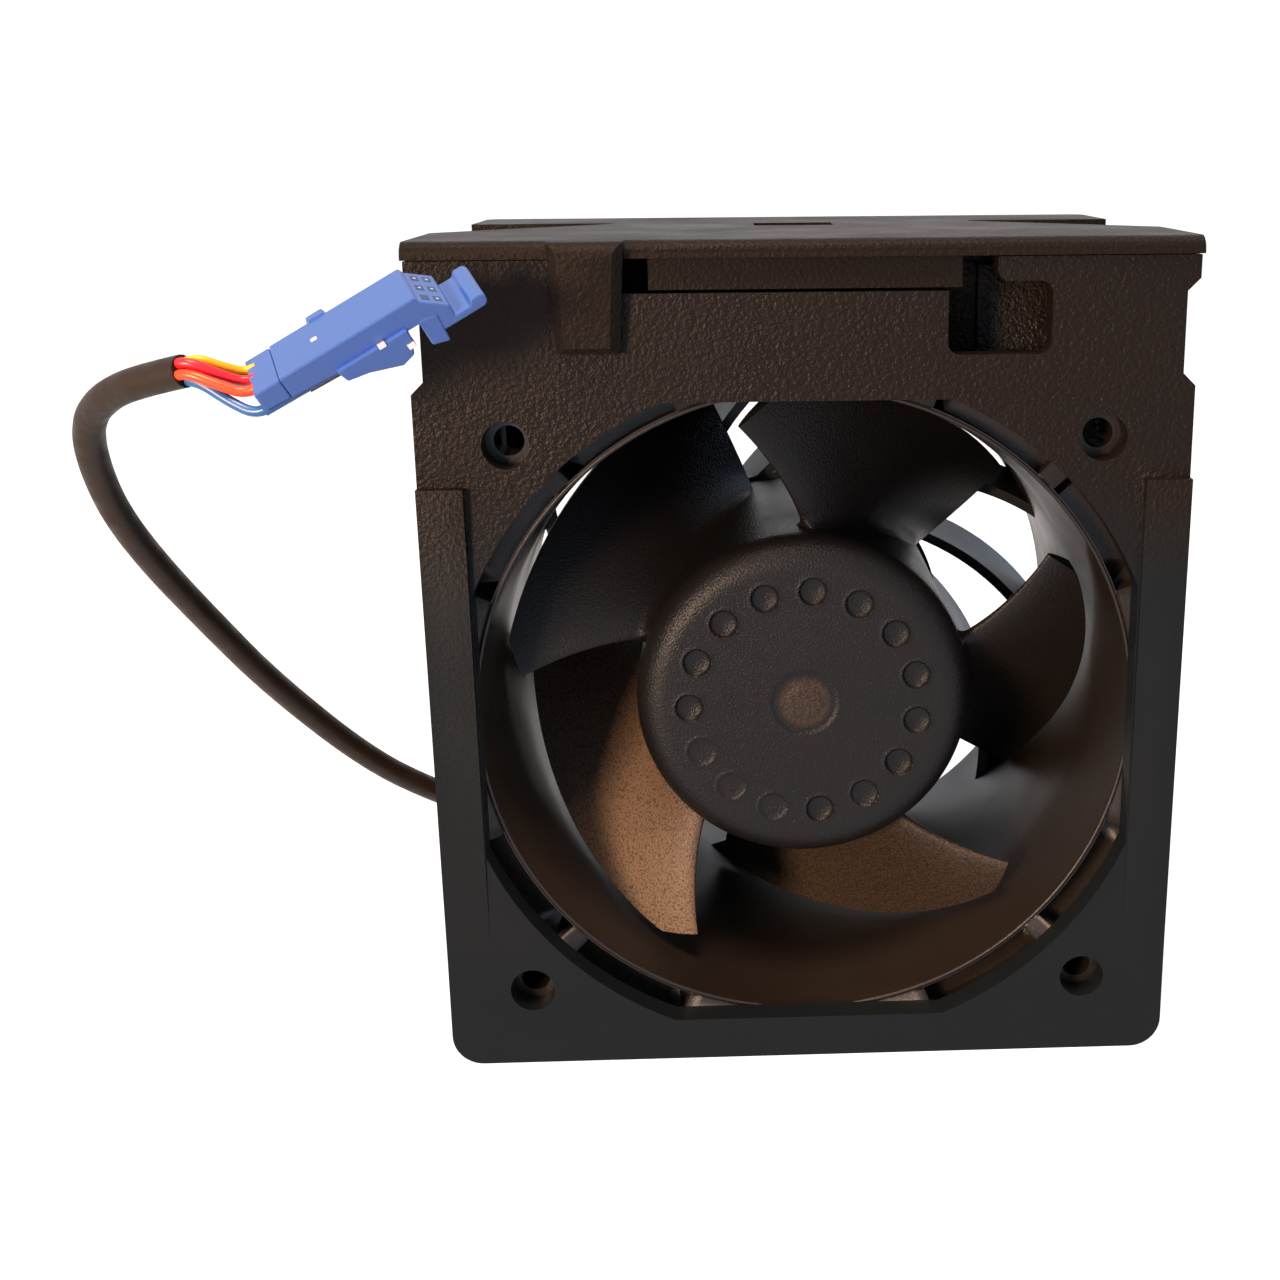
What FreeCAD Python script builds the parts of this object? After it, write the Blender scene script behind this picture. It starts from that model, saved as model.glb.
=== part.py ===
"""Server fan module: a 60 mm axial fan in a moulded carrier with a snap-on cover and a short lead.

Axes: X to the right, Y towards the outlet, Z up. The intake faces -Y. The origin is at the middle of
the base. Most pieces are drawn about the fan's own axis, from the front face of the carrier's plate,
and are then placed by that axis. All lengths are in millimetres.
"""
import FreeCAD, Part
import math
import os
import re
import Sketcher

V = FreeCAD.Vector
Rotation = FreeCAD.Rotation
Placement = FreeCAD.Placement

doc = FreeCAD.newDocument("server_fan_module")

# ---------------------------------------------------------------- sizes
SIZES = [
    # carrier: front plate
    ("plate_width", 65.0),
    ("plate_height", 72.4),
    ("plate_thickness", 2.4),
    ("plate_corner_radius", 2.8),
    ("axis_height", 32.3),
    ("opening_radius", 30.9),
    ("opening_half_width", 28.5),
    ("opening_half_height", 28.4),
    ("hole_pitch", 50.0),
    ("hole_diameter", 4.0),
    ("notch_land", 1.9),
    ("notch_length", 8.9),
    ("notch_depth", 1.05),
    ("rib_width", 3.9),
    ("rib_height", 0.9),
    ("rib_top", 21.5),
    ("rib_length", 42.5),
    ("window_left", 11.7),
    ("window_width", 8.6),
    ("window_floor", 32.1),
    ("window_height", 6.0),
    ("window_mouth", 4.6),
    ("window_corner_radius", 1.0),
    # carrier: box behind the plate
    ("carrier_depth", 42.6),
    ("wall_thickness", 1.3),
    ("box_corner", 1.6),
    ("deck_thickness", 1.2),
    ("cross_wall_setback", 10.0),
    ("stop_left", 15.4),
    ("stop_width", 7.0),
    ("stop_thickness", 1.5),
    ("fan_side_gap", 0.15),
    ("fan_seat_gap", 0.1),
    ("finger_length", 16.0),
    ("finger_width", 10.0),
    ("finger_slot", 1.0),
    ("barb_reach", 1.2),
    ("lead_slot_width", 4.0),
    # fan frame
    ("fan_width", 60.0),
    ("fan_depth", 38.0),
    ("flange_thickness", 3.6),
    ("flange_corner_radius", 4.0),
    ("flange_hole_diameter", 2.6),
    ("duct_outer_radius", 29.95),
    ("lip_inner_radius", 28.9),
    ("lip_setback", 0.2),
    ("throat_radius", 28.0),
    ("bell_length", 11.5),
    ("pocket_inner_radius", 29.35),
    ("pocket_outer_radius", 31.9),
    ("pocket_depth", 2.4),
    ("pocket_angle", 21.5),
    ("pocket_rib_angle", 3.6),
    # motor base and outlet vanes
    ("base_radius", 15.7),
    ("base_wall", 0.9),
    ("base_wall_length", 5.6),
    ("base_floor", 1.5),
    ("base_setback", 1.0),
    ("vane_count", 11),
    ("vane_thickness", 1.0),
    ("vane_length", 6.5),
    ("vane_setback", 0.5),
    ("vane_sweep", 50.0),
    ("vane_lean", 6.4),
    ("vane_phase", 23.6),
    # impeller
    ("hub_radius", 15.3),
    ("hub_setback", 5.6),
    ("hub_length", 27.4),
    ("hub_wall", 1.6),
    ("hub_face", 1.8),
    ("hub_edge_radius", 2.7),
    ("hub_boss_radius", 4.0),
    ("hub_boss_length", 4.6),
    ("dimple_count", 15),
    ("dimple_circle_radius", 10.45),
    ("dimple_diameter", 2.5),
    ("dimple_depth", 0.5),
    ("gate_diameter", 5.9),
    ("gate_depth", 0.25),
    ("blade_count", 5),
    ("tip_gap", 0.7),
    ("blade_front", 6.8),
    ("blade_rear", 30.2),
    ("blade_root_setback", 3.4),
    ("blade_root_angle", 17.0),
    ("blade_tip_angle", 32.8),
    ("blade_root_wrap", 54.0),
    ("blade_tip_wrap", 67.0),
    ("blade_root_thickness", 2.9),
    ("blade_tip_thickness", 2.3),
    ("blade_tip_bevel", 1.4),
    # motor
    ("shaft_diameter", 3.0),
    ("shaft_clearance", 0.02),
    ("shaft_rear", 39.0),
    ("yoke_clearance", 0.03),
    ("yoke_thickness", 0.9),
    ("magnet_thickness", 1.8),
    ("magnet_length", 18.0),
    ("air_gap", 0.4),
    ("bearing_outer_diameter", 8.0),
    ("bearing_width", 4.0),
    ("race_thickness", 0.7),
    ("ball_clearance", 0.05),
    ("ball_count", 7),
    ("front_bearing_start", 13.6),
    ("bearing_spacing", 20.6),
    ("tube_wall", 0.95),
    ("tube_shoulder", 0.7),
    ("clip_thickness", 0.4),
    ("clip_radius", 2.6),
    ("clip_groove_depth", 0.35),
    ("core_start", 17.6),
    ("core_length", 11.0),
    ("core_hub_radius", 5.9),
    ("pole_count", 4),
    ("pole_width", 3.2),
    ("pole_shoe_thickness", 1.1),
    ("pole_shoe_angle", 70.0),
    ("insulator_thickness", 0.9),
    ("coil_thickness", 1.5),
    ("board_radius", 13.9),
    ("board_thickness", 1.2),
    ("board_gap", 1.2),
    ("cap_thickness", 0.6),
    ("cap_radius", 5.6),
    # cover
    ("cover_half_width", 32.65),
    ("cover_rear_half_width", 31.3),
    ("cover_thickness", 1.45),
    ("cover_gap", 0.1),
    ("cover_overhang", 0.4),
    ("cover_depth", 41.0),
    ("cover_step", 29.4),
    ("rail_width", 3.65),
    ("rail_height", 1.3),
    ("scoop_start", 13.0),
    ("scoop_inner", 17.5),
    ("scoop_depth", 1.25),
    ("cover_slot_width", 7.5),
    ("cover_slot_length", 5.0),
    ("cover_slot_start", 22.5),
    ("skirt_half_width", 12.85),
    ("skirt_height", 2.6),
    ("skirt_thickness", 1.6),
    ("skirt_setback", 0.5),
    ("tab_left", -20.9),
    ("tab_width", 6.2),
    ("tab_length", 9.0),
    ("tab_reach", 2.2),
    ("tab_taper", 0.5),
    ("tab_bevel", 0.8),
    ("front_edge_radius", 1.25),
    ("leg_width", 4.0),
    ("leg_thickness", 1.3),
    ("leg_length", 7.2),
    ("leg_start", 33.0),
    ("leg_nub", 0.9),
    ("leg_gap", 0.25),
    # lead
    ("lead_diameter", 2.5),
    ("inner_lead_diameter", 2.3),
    ("wire_diameter", 0.8),
    ("lead_exit_setback", 2.2),
    ("lead_exit_height", 9.1),
    ("grommet_collar_radius", 2.5),
    ("grommet_collar", 0.8),
    # connector
    ("plug_x", -41.58),
    ("plug_y", -32.8),
    ("plug_z", 65.46),
    ("plug_pitch", -29.0),
    ("plug_roll", 23.3),
    ("plug_length", 13.0),
    ("plug_width", 6.6),
    ("plug_thickness", 2.7),
    ("plug_edge_radius", 0.5),
    ("plug_nose_length", 2.2),
    ("plug_nose_width", 5.6),
    ("plug_key_length", 2.6),
    ("plug_lip_length", 1.3),
    ("plug_latch_width", 3.0),
    ("plug_latch_height", 1.5),
    ("contact_window", 0.66),
    ("contact_window_depth", 1.2),
    ("contact_size", 0.5),
]
ALIASES = {name for name, value in SIZES}

sheet = doc.addObject("Spreadsheet::Sheet", "Sizes")
for row, (name, value) in enumerate(SIZES, start=1):
    sheet.set("A%d" % row, name)
    sheet.set("B%d" % row, str(value))
    sheet.setAlias("B%d" % row, name)
doc.recompute()


def bind(text):
    """Turn a sum of size names into an expression that points at the sheet."""
    return re.sub(r"[a-z][a-z_]*", lambda word: "Sizes." + word.group()
                  if word.group() in ALIASES else word.group(), str(text))


def number(text):
    """Value of a sum of size names."""
    result = sheet.evalExpression(bind(text))
    return float(getattr(result, "Value", result))


# Places that several pieces share, as sums of the sizes.
PLATE_TOP = "(plate_height - axis_height)"
HALF_BAY = "(fan_width / 2 + fan_side_gap)"
HALF_BODY = "(fan_width / 2 + fan_side_gap + wall_thickness)"
DECK_TOP = "(fan_width / 2 + fan_side_gap + deck_thickness)"
COVER_BOTTOM = "(plate_height - axis_height + cover_gap)"
COVER_TOP = "(plate_height - axis_height + cover_gap + cover_thickness)"
WALL_TOP = "(plate_height - axis_height - rail_height)"
FAN_FRONT = "(plate_thickness + fan_seat_gap)"
FAN_REAR = "(plate_thickness + fan_seat_gap + fan_depth)"
TIP_RADIUS = "(throat_radius - tip_gap)"
HUB_REAR = "(hub_setback + hub_length)"
BASE_REAR = "(plate_thickness + fan_seat_gap + fan_depth - base_setback)"
YOKE_OUTER = "(hub_radius - hub_wall - yoke_clearance)"
MAGNET_OUTER = "(hub_radius - hub_wall - yoke_thickness - 2 * yoke_clearance)"
CORE_RADIUS = "(hub_radius - hub_wall - yoke_thickness - 2 * yoke_clearance - magnet_thickness - air_gap)"
TUBE_INNER = "(bearing_outer_diameter / 2 + shaft_clearance)"
TUBE_OUTER = "(bearing_outer_diameter / 2 + shaft_clearance + tube_wall)"
REAR_BEARING = "(front_bearing_start + bearing_spacing)"
FRONT_Y = "((tab_reach - carrier_depth) / 2)"
LEAD_Y = "(plate_thickness + fan_seat_gap + fan_depth - lead_exit_setback)"
LEAD_Z = "(lead_exit_height - axis_height)"

parts = []


# ---------------------------------------------------------------- drawing helpers
def place_on_axis(piece):
    """Stand a piece that is drawn about the fan axis in its place in the module."""
    piece.setExpression("Placement.Base.y", bind(FRONT_Y))
    piece.setExpression("Placement.Base.z", bind("axis_height"))


def new_body(label, keep=True):
    body = doc.addObject("PartDesign::Body", label)
    body.Label = label
    if keep:
        place_on_axis(body)
        parts.append(body)
    return body


def new_sketch(body, plane, offset="0", turn=0.0):
    """Sketch on one of the body's own planes, moved along its normal and turned about its X axis."""
    sketch = body.newObject("Sketcher::SketchObject", body.Label + "_sketch")
    origin_plane = [item for item in body.Origin.OriginFeatures if item.Role == plane][0]
    sketch.AttachmentSupport = [(origin_plane, "")]
    sketch.MapMode = "FlatFace"
    sketch.AttachmentOffset = Placement(V(0, 0, number(offset)), Rotation(V(1, 0, 0), turn))
    if offset != "0":
        sketch.setExpression("AttachmentOffset.Base.z", bind(offset))
    return sketch


def hold(sketch, kind, geometry, point, text):
    """Dimension from the sketch's origin to a point, tied to the sheet."""
    index = sketch.addConstraint(Sketcher.Constraint(kind, -1, 1, geometry, point, number(text)))
    sketch.setExpression("Constraints[%d]" % index, bind(text))


def outline(sketch, points):
    """Closed outline of straight lines through points given as pairs of sums of sizes."""
    first = sketch.GeometryCount
    places = [V(number(x), number(y), 0) for x, y in points]
    count = len(points)
    for i in range(count):
        sketch.addGeometry(Part.LineSegment(places[i], places[(i + 1) % count]), False)
    for i in range(count):
        sketch.addConstraint(Sketcher.Constraint("Coincident", first + i, 2, first + (i + 1) % count, 1))
    for i, (x, y) in enumerate(points):
        hold(sketch, "DistanceX", first + i, 1, x)
        hold(sketch, "DistanceY", first + i, 1, y)
    return sketch


def rectangle(sketch, left, bottom, right, top):
    return outline(sketch, [(left, bottom), (right, bottom), (right, top), (left, top)])


def circle(sketch, x, y, radius):
    geometry = sketch.addGeometry(Part.Circle(V(number(x), number(y), 0), V(0, 0, 1), number(radius)), False)
    hold(sketch, "DistanceX", geometry, 3, x)
    hold(sketch, "DistanceY", geometry, 3, y)
    index = sketch.addConstraint(Sketcher.Constraint("Radius", geometry, number(radius)))
    sketch.setExpression("Constraints[%d]" % index, bind(radius))
    return sketch


def clipped_circle(sketch, radius, half_width, half_height):
    """Circle about the origin, cut by two upright and two level flats."""
    r, w, h = number(radius), number(half_width), number(half_height)
    rise = math.sqrt(r * r - w * w)
    run = math.sqrt(r * r - h * h)
    corners = [V(w, -rise, 0), V(w, rise, 0), V(run, h, 0), V(-run, h, 0),
               V(-w, rise, 0), V(-w, -rise, 0), V(-run, -h, 0), V(run, -h, 0)]
    first = sketch.GeometryCount
    for i in range(8):
        start, end = corners[i], corners[(i + 1) % 8]
        if i % 2 == 0:
            sketch.addGeometry(Part.LineSegment(start, end), False)
        else:
            middle = (start + end).normalize() * r
            sketch.addGeometry(Part.Arc(start, middle, end), False)
    for i in range(8):
        sketch.addConstraint(Sketcher.Constraint("Coincident", first + i, 2, first + (i + 1) % 8, 1))
    for i in range(1, 8, 2):
        sketch.addConstraint(Sketcher.Constraint("Coincident", first + i, 3, -1, 1))
        if i == 1:
            index = sketch.addConstraint(Sketcher.Constraint("Radius", first + i, r))
            sketch.setExpression("Constraints[%d]" % index, bind(radius))
    for i, kind, sign, text in ((0, "X", "", half_width), (2, "Y", "", half_height),
                                (4, "X", "-", half_width), (6, "Y", "-", half_height)):
        hold(sketch, "Distance" + kind, first + i, 1, sign + text)
        hold(sketch, "Distance" + kind, first + i, 2, sign + text)
    return sketch


def feature(body, kind, sketch, **settings):
    """Sketch-based feature whose text settings are sums of sizes. It has to change the volume."""
    doc.recompute()
    before = body.Shape.Volume if body.Tip else 0.0
    item = body.newObject("PartDesign::" + kind, body.Label + "_" + kind.lower())
    item.Profile = sketch
    for name, setting in settings.items():
        if isinstance(setting, str) and name in ("Length", "Angle"):
            item.setExpression(name, bind(setting))
        else:
            setattr(item, name, setting)
    doc.recompute()
    grown = body.Shape.Volume - before
    wanted = -1 if kind in ("Pocket", "Groove") else 1
    if grown * wanted <= 1e-6:
        raise ValueError("%s of %s changed nothing: %s %s %s" % (kind, body.Label, item.State,
                                                                 item.getStatusString(), grown))
    return item


def spin(body, kind, sketch, **settings):
    """Revolution or groove about the sketch's horizontal axis, which is the fan axis."""
    return feature(body, kind, sketch, ReferenceAxis=(sketch, ["H_Axis"]), **settings)


def around(body, item, count):
    """Repeat a feature evenly about the fan axis."""
    doc.recompute()
    before = body.Shape.Volume
    pattern = body.newObject("PartDesign::PolarPattern", body.Label + "_pattern")
    pattern.Originals = [item]
    axis = [thing for thing in body.Origin.OriginFeatures if thing.Role == "Y_Axis"][0]
    pattern.Axis = (axis, [""])
    pattern.Angle = 360
    pattern.setExpression("Occurrences", bind(count))
    body.Tip = pattern
    doc.recompute()
    if abs(body.Shape.Volume - before) < 1e-6:
        raise ValueError("pattern of %s changed nothing" % body.Label)
    return pattern


def edges_where(shape, wanted):
    return ["Edge%d" % (i + 1) for i, edge in enumerate(shape.Edges) if wanted(edge)]


def round_edges(body, radius, wanted, kind="Fillet"):
    """Fillet or chamfer the edges of the body's tip that the test picks."""
    doc.recompute()
    base = body.Tip
    names = edges_where(base.Shape, wanted)
    if not names:
        raise ValueError("no edge to round on " + body.Label)
    item = body.newObject("PartDesign::" + kind, body.Label + "_" + kind.lower())
    item.Base = (base, names)
    item.setExpression("Radius" if kind == "Fillet" else "Size", bind(radius))
    body.Tip = item
    doc.recompute()
    if item.Shape.isNull():
        raise ValueError("%s of %s failed: %s" % (kind, body.Label, item.getStatusString()))
    return item


def along(edge, axis):
    """Whether a straight edge runs along an axis, given as 0, 1 or 2."""
    if not isinstance(edge.Curve, (Part.Line, Part.LineSegment)):
        return False
    start, end = edge.Vertexes[0].Point, edge.Vertexes[-1].Point
    span = [abs(end[i] - start[i]) for i in range(3)]
    return span[axis] > 1e-4 and sum(span) - span[axis] < 1e-4


def near(value, target):
    return abs(value - target) < 1e-3


def solid_part(label, shape, on_axis=True):
    """Sub-part whose shape is made of the sizes by Part's own functions."""
    piece = doc.addObject("Part::Feature", label)
    piece.Label = label
    piece.Shape = shape
    if on_axis:
        place_on_axis(piece)
    parts.append(piece)
    return piece


def ring_shape(inner, outer, start, end):
    """Plain ring about the fan axis between two depths."""
    ring = Part.makeCylinder(outer, end - start, V(0, start, 0), V(0, 1, 0))
    if inner > 0:
        ring = ring.cut(Part.makeCylinder(inner, end - start, V(0, start, 0), V(0, 1, 0)))
    return ring


def box_between(low, high):
    return Part.makeBox(high[0] - low[0], high[1] - low[1], high[2] - low[2], V(*low))


def turned(shape, degrees):
    """Copy of a shape turned about the fan axis, anticlockwise as seen from the intake."""
    copy = shape.copy()
    copy.rotate(V(0, 0, 0), V(0, 1, 0), -degrees)
    return copy


def on_circle(radius, degrees, depth):
    """Point about the fan axis; the angle runs anticlockwise from +X as seen from the intake."""
    angle = math.radians(degrees)
    return V(radius * math.cos(angle), depth, radius * math.sin(angle))


# ---------------------------------------------------------------- carrier
def carrier_housing():
    """Front plate with its clipped opening, and the box behind it that holds the fan."""
    body = new_body("carrier_housing")
    half, foot = "plate_width / 2", "-axis_height"
    notch_top = PLATE_TOP + " - notch_land"
    right = [("(%s)" % half, foot), (half, notch_top + " - notch_length"),
             (half + " - notch_depth", notch_top + " - notch_length + notch_depth"),
             (half + " - notch_depth", notch_top + " - notch_depth"), (half, notch_top), (half, PLATE_TOP)]
    left = [("-(%s)" % x, z) for x, z in reversed(right)]
    plate = outline(new_sketch(body, "XZ_Plane"), right + left)
    feature(body, "Pad", plate, Length="plate_thickness", Reversed=True)
    low = -number("axis_height")
    round_edges(body, "plate_corner_radius",
                lambda edge: along(edge, 1) and near(edge.Vertexes[0].Z, low))

    # box: floor, side walls and the deck over the fan, all of one section
    box = new_sketch(body, "XZ_Plane", "-plate_thickness")
    outline(box, [("-" + HALF_BODY + " + box_corner", foot), (HALF_BODY + " - box_corner", foot),
                  (HALF_BODY, foot + " + box_corner"), (HALF_BODY, WALL_TOP), (HALF_BAY, WALL_TOP),
                  (HALF_BAY, DECK_TOP), ("-" + HALF_BAY, DECK_TOP), ("-" + HALF_BAY, WALL_TOP),
                  ("-" + HALF_BODY, WALL_TOP), ("-" + HALF_BODY, foot + " + box_corner")])
    rectangle(box, "-" + HALF_BAY, "-" + HALF_BAY, HALF_BAY, HALF_BAY)
    feature(body, "Pad", box, Length="carrier_depth - plate_thickness", Reversed=True)

    # cross wall on the deck that ties the side walls together, with a stop behind the plate's window
    crest = COVER_BOTTOM + " - cover_gap"
    shoulder = "(cover_half_width - rail_width - 2 * cover_gap)"
    tie = new_sketch(body, "XZ_Plane", "-cross_wall_setback")
    outline(tie, [("-" + HALF_BAY, DECK_TOP), (HALF_BAY, DECK_TOP), (HALF_BAY, WALL_TOP), (shoulder, WALL_TOP),
                  (shoulder, crest), ("-" + shoulder, crest), ("-" + shoulder, WALL_TOP), ("-" + HALF_BAY, WALL_TOP)])
    feature(body, "Pad", tie, Length="wall_thickness", Reversed=True)
    stop = new_sketch(body, "XZ_Plane", "-cross_wall_setback")
    rectangle(stop, "stop_left", DECK_TOP, "stop_left + stop_width", WALL_TOP)
    feature(body, "Pad", stop, Length="stop_thickness")

    # openings of the front plate
    opening = clipped_circle(new_sketch(body, "XZ_Plane"), "opening_radius",
                             "opening_half_width", "opening_half_height")
    feature(body, "Pocket", opening, Length="plate_thickness")
    holes = new_sketch(body, "XZ_Plane")
    for x in ("-hole_pitch / 2", "hole_pitch / 2"):
        for z in ("-hole_pitch / 2", "hole_pitch / 2"):
            circle(holes, x, z, "hole_diameter / 2")
    feature(body, "Pocket", holes, Length="plate_thickness")
    window_right = "window_left + window_width"
    window_top = "window_floor + window_height"
    mouth = window_right + " - window_mouth"
    window = new_sketch(body, "XZ_Plane")
    outline(window, [("window_left", "window_floor"), (window_right, "window_floor"), (window_right, window_top),
                     (mouth, window_top), (mouth, PLATE_TOP + " + 1"),
                     ("-skirt_half_width - tab_reach", PLATE_TOP + " + 1"),
                     ("-skirt_half_width - tab_reach", COVER_BOTTOM + " - skirt_height - leg_gap"),
                     ("window_left", COVER_BOTTOM + " - skirt_height - leg_gap")])
    feature(body, "Pocket", window, Length="plate_thickness")
    corners = [(number("window_left"), number("window_floor")), (number(window_right), number("window_floor")),
               (number(window_right), number(window_top)), (number(mouth), number(window_top))]
    round_edges(body, "min(window_corner_radius; window_height / 3)",
                lambda edge: along(edge, 1) and any(near(edge.Vertexes[0].X, x) and near(edge.Vertexes[0].Z, z)
                                                    for x, z in corners))

    # wedge ribs on the plate's front, proud at the top and flush at the bottom
    for side in ("-plate_width / 2", "plate_width / 2 - rib_width"):
        wedge = new_sketch(body, "YZ_Plane", side)
        outline(wedge, [("0", "rib_top - rib_length"), ("0", "rib_top"), ("-rib_height", "rib_top")])
        feature(body, "Pad", wedge, Length="rib_width")

    # spring fingers in the side walls, with barbs behind the fan
    slots = new_sketch(body, "YZ_Plane", "-" + HALF_BODY)
    for sign in ("", "-"):
        inner = sign + "finger_width / 2"
        rectangle(slots, "carrier_depth - finger_length", inner, "carrier_depth + 1",
                  sign + "(finger_width / 2 + finger_slot)")
    feature(body, "Pocket", slots, Length="2 * " + HALF_BODY, Reversed=True)
    for sign in ("", "-"):
        barb = new_sketch(body, "XY_Plane", "-finger_width / 2")
        outline(barb, [(sign + HALF_BAY, FAN_REAR + " + fan_side_gap"),
                       (sign + "(" + HALF_BAY + " - barb_reach)", FAN_REAR + " + fan_side_gap"),
                       (sign + "(" + HALF_BAY + " - barb_reach)", FAN_REAR + " + fan_side_gap + barb_reach / 3"),
                       (sign + HALF_BAY, "carrier_depth")])
        feature(body, "Pad", barb, Length="finger_width")

    # windows for the cover's snap legs, and the slot that the lead leaves through
    legs = new_sketch(body, "YZ_Plane", "-" + HALF_BODY)
    rectangle(legs, "leg_start - leg_gap", COVER_BOTTOM + " - leg_length - leg_gap",
              "leg_start + leg_width + leg_gap", COVER_BOTTOM + " - leg_length + 2 * leg_nub + leg_gap")
    feature(body, "Pocket", legs, Length="2 * " + HALF_BODY, Reversed=True)
    slot = new_sketch(body, "YZ_Plane", "-" + HALF_BODY + " - 1")
    rectangle(slot, LEAD_Y + " - lead_slot_width / 2", LEAD_Z + " - lead_slot_width / 2", "carrier_depth + 1",
              LEAD_Z + " + lead_slot_width / 2")
    feature(body, "Pocket", slot, Length="wall_thickness + 2", Reversed=True)


def top_cover():
    """Clip-fit cover: finger scoops, skirt bar and snap tab in front, rails and legs below."""
    body = new_body("top_cover")
    wide, slim = "cover_half_width", "cover_rear_half_width"
    sheet_outline = new_sketch(body, "XY_Plane", COVER_BOTTOM)
    outline(sheet_outline, [("-" + wide, "-cover_overhang"), (wide, "-cover_overhang"), (wide, "cover_step"),
                            (slim, "cover_step"), (slim, "cover_depth"), ("-" + slim, "cover_depth"),
                            ("-" + slim, "cover_step"), ("-" + wide, "cover_step")])
    feature(body, "Pad", sheet_outline, Length="cover_thickness")
    front, rear = -number("cover_overhang"), number("cover_depth")
    round_edges(body, "cover_thickness", lambda edge: along(edge, 2) and near(edge.Vertexes[0].Y, rear))
    top = number(COVER_TOP)
    round_edges(body, "front_edge_radius", lambda edge: along(edge, 0) and near(edge.Vertexes[0].Y, front)
                and near(edge.Vertexes[0].Z, top))

    # rails over the side walls, widened into wells under the finger scoops
    for sign in ("", "-"):
        rail = new_sketch(body, "XY_Plane", COVER_BOTTOM)
        inner = "(cover_half_width - rail_width)"
        points = [(inner, "plate_thickness + cover_gap"), (wide, "plate_thickness + cover_gap"),
                  (wide, "cover_step"), (slim, "cover_step"), (slim, "cover_depth - cover_thickness"),
                  (inner, "cover_depth - cover_thickness"), (inner, "cover_step + cover_thickness"),
                  ("scoop_inner", "cover_step + cover_thickness"), ("scoop_inner", "scoop_start"),
                  (inner, "scoop_start")]
        outline(rail, [(sign + x, y) for x, y in points])
        feature(body, "Pad", rail, Length="rail_height", Reversed=True)
    for sign in ("", "-"):
        scoop(body, sign)

    # slot in the middle, open right through
    slot = new_sketch(body, "XY_Plane", COVER_TOP)
    rectangle(slot, "-cover_slot_width / 2", "cover_slot_start", "cover_slot_width / 2",
              "cover_slot_start + cover_slot_length")
    feature(body, "Pocket", slot, Length="cover_thickness")

    # skirt bar in the plate's top edge
    skirt = new_sketch(body, "XY_Plane", COVER_BOTTOM)
    rectangle(skirt, "-skirt_half_width", "skirt_setback", "skirt_half_width", "skirt_setback + skirt_thickness")
    feature(body, "Pad", skirt, Length="skirt_height", Reversed=True)

    # snap tab in front of the plate, narrower and thinner at its foot
    head = rectangle(new_sketch(body, "XY_Plane", COVER_TOP), "tab_left", "-tab_reach", "tab_left + tab_width",
                     "-cover_gap")
    toe = rectangle(new_sketch(body, "XY_Plane", COVER_TOP + " - tab_length"), "tab_left + tab_taper",
                    "-tab_reach + tab_taper", "tab_left + tab_width - tab_taper", "-cover_gap")
    feature(body, "AdditiveLoft", head, Sections=[toe], Ruled=True)
    round_edges(body, "tab_bevel",
                lambda edge: max(vertex.Y for vertex in edge.Vertexes) < -number("tab_reach / 2")
                and abs(edge.Vertexes[0].Z - edge.Vertexes[-1].Z) > number("tab_length / 2"), "Chamfer")
    reach = -number("tab_reach")
    round_edges(body, "front_edge_radius", lambda edge: along(edge, 0) and near(edge.Vertexes[0].Y, reach)
                and near(edge.Vertexes[0].Z, top))
    toe_height = number(COVER_TOP + " - tab_length")
    round_edges(body, "tab_taper",
                lambda edge: near(edge.Vertexes[0].Z, toe_height) and near(edge.Vertexes[1].Z, toe_height)
                and edge.Vertexes[0].Y < -number("tab_reach / 2") and edge.Vertexes[1].Y < -number("tab_reach / 2"),
                "Chamfer")

    # snap legs inside the side walls, each with a nub in the wall's window
    for sign in ("", "-"):
        leg = new_sketch(body, "XY_Plane", COVER_BOTTOM)
        outer = "(" + HALF_BAY + " - leg_gap)"
        rectangle(leg, sign + outer, "leg_start", sign + "(" + outer + " - leg_thickness)", "leg_start + leg_width")
        feature(body, "Pad", leg, Length="leg_length", Reversed=True)
        nub = new_sketch(body, "XZ_Plane", "-leg_start")
        foot = COVER_BOTTOM + " - leg_length"
        outline(nub, [(sign + outer, foot), (sign + outer, foot + " + 2 * leg_nub"),
                      (sign + "(" + outer + " + leg_nub)", foot + " + 2 * leg_nub"),
                      (sign + "(" + outer + " + leg_nub)", foot + " + leg_nub")])
        feature(body, "Pad", nub, Length="leg_width", Reversed=True)


def scoop(body, sign):
    """Finger scoop: a ramp that deepens backwards and outwards and ends at an upright wall."""
    sections = []
    for place, depth, start in (("cover_half_width + 1", "scoop_depth", "scoop_start"),
                                ("scoop_inner", "scoop_depth / 25", "(cover_step - scoop_depth)")):
        sketch = new_sketch(body, "YZ_Plane", sign + "(" + place + ")")
        outline(sketch, [(start, COVER_TOP), (start, COVER_TOP + " + 1"), ("cover_step", COVER_TOP + " + 1"),
                         ("cover_step", COVER_TOP + " - " + depth)])
        sections.append(sketch)
    doc.recompute()
    before = body.Shape.Volume
    cut = body.newObject("PartDesign::SubtractiveLoft", body.Label + "_scoop")
    cut.Profile = sections[0]
    cut.Sections = [sections[1]]
    cut.Ruled = True
    body.Tip = cut
    doc.recompute()
    if body.Shape.Volume >= before - 1:
        raise ValueError("scoop cut nothing")


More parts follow.
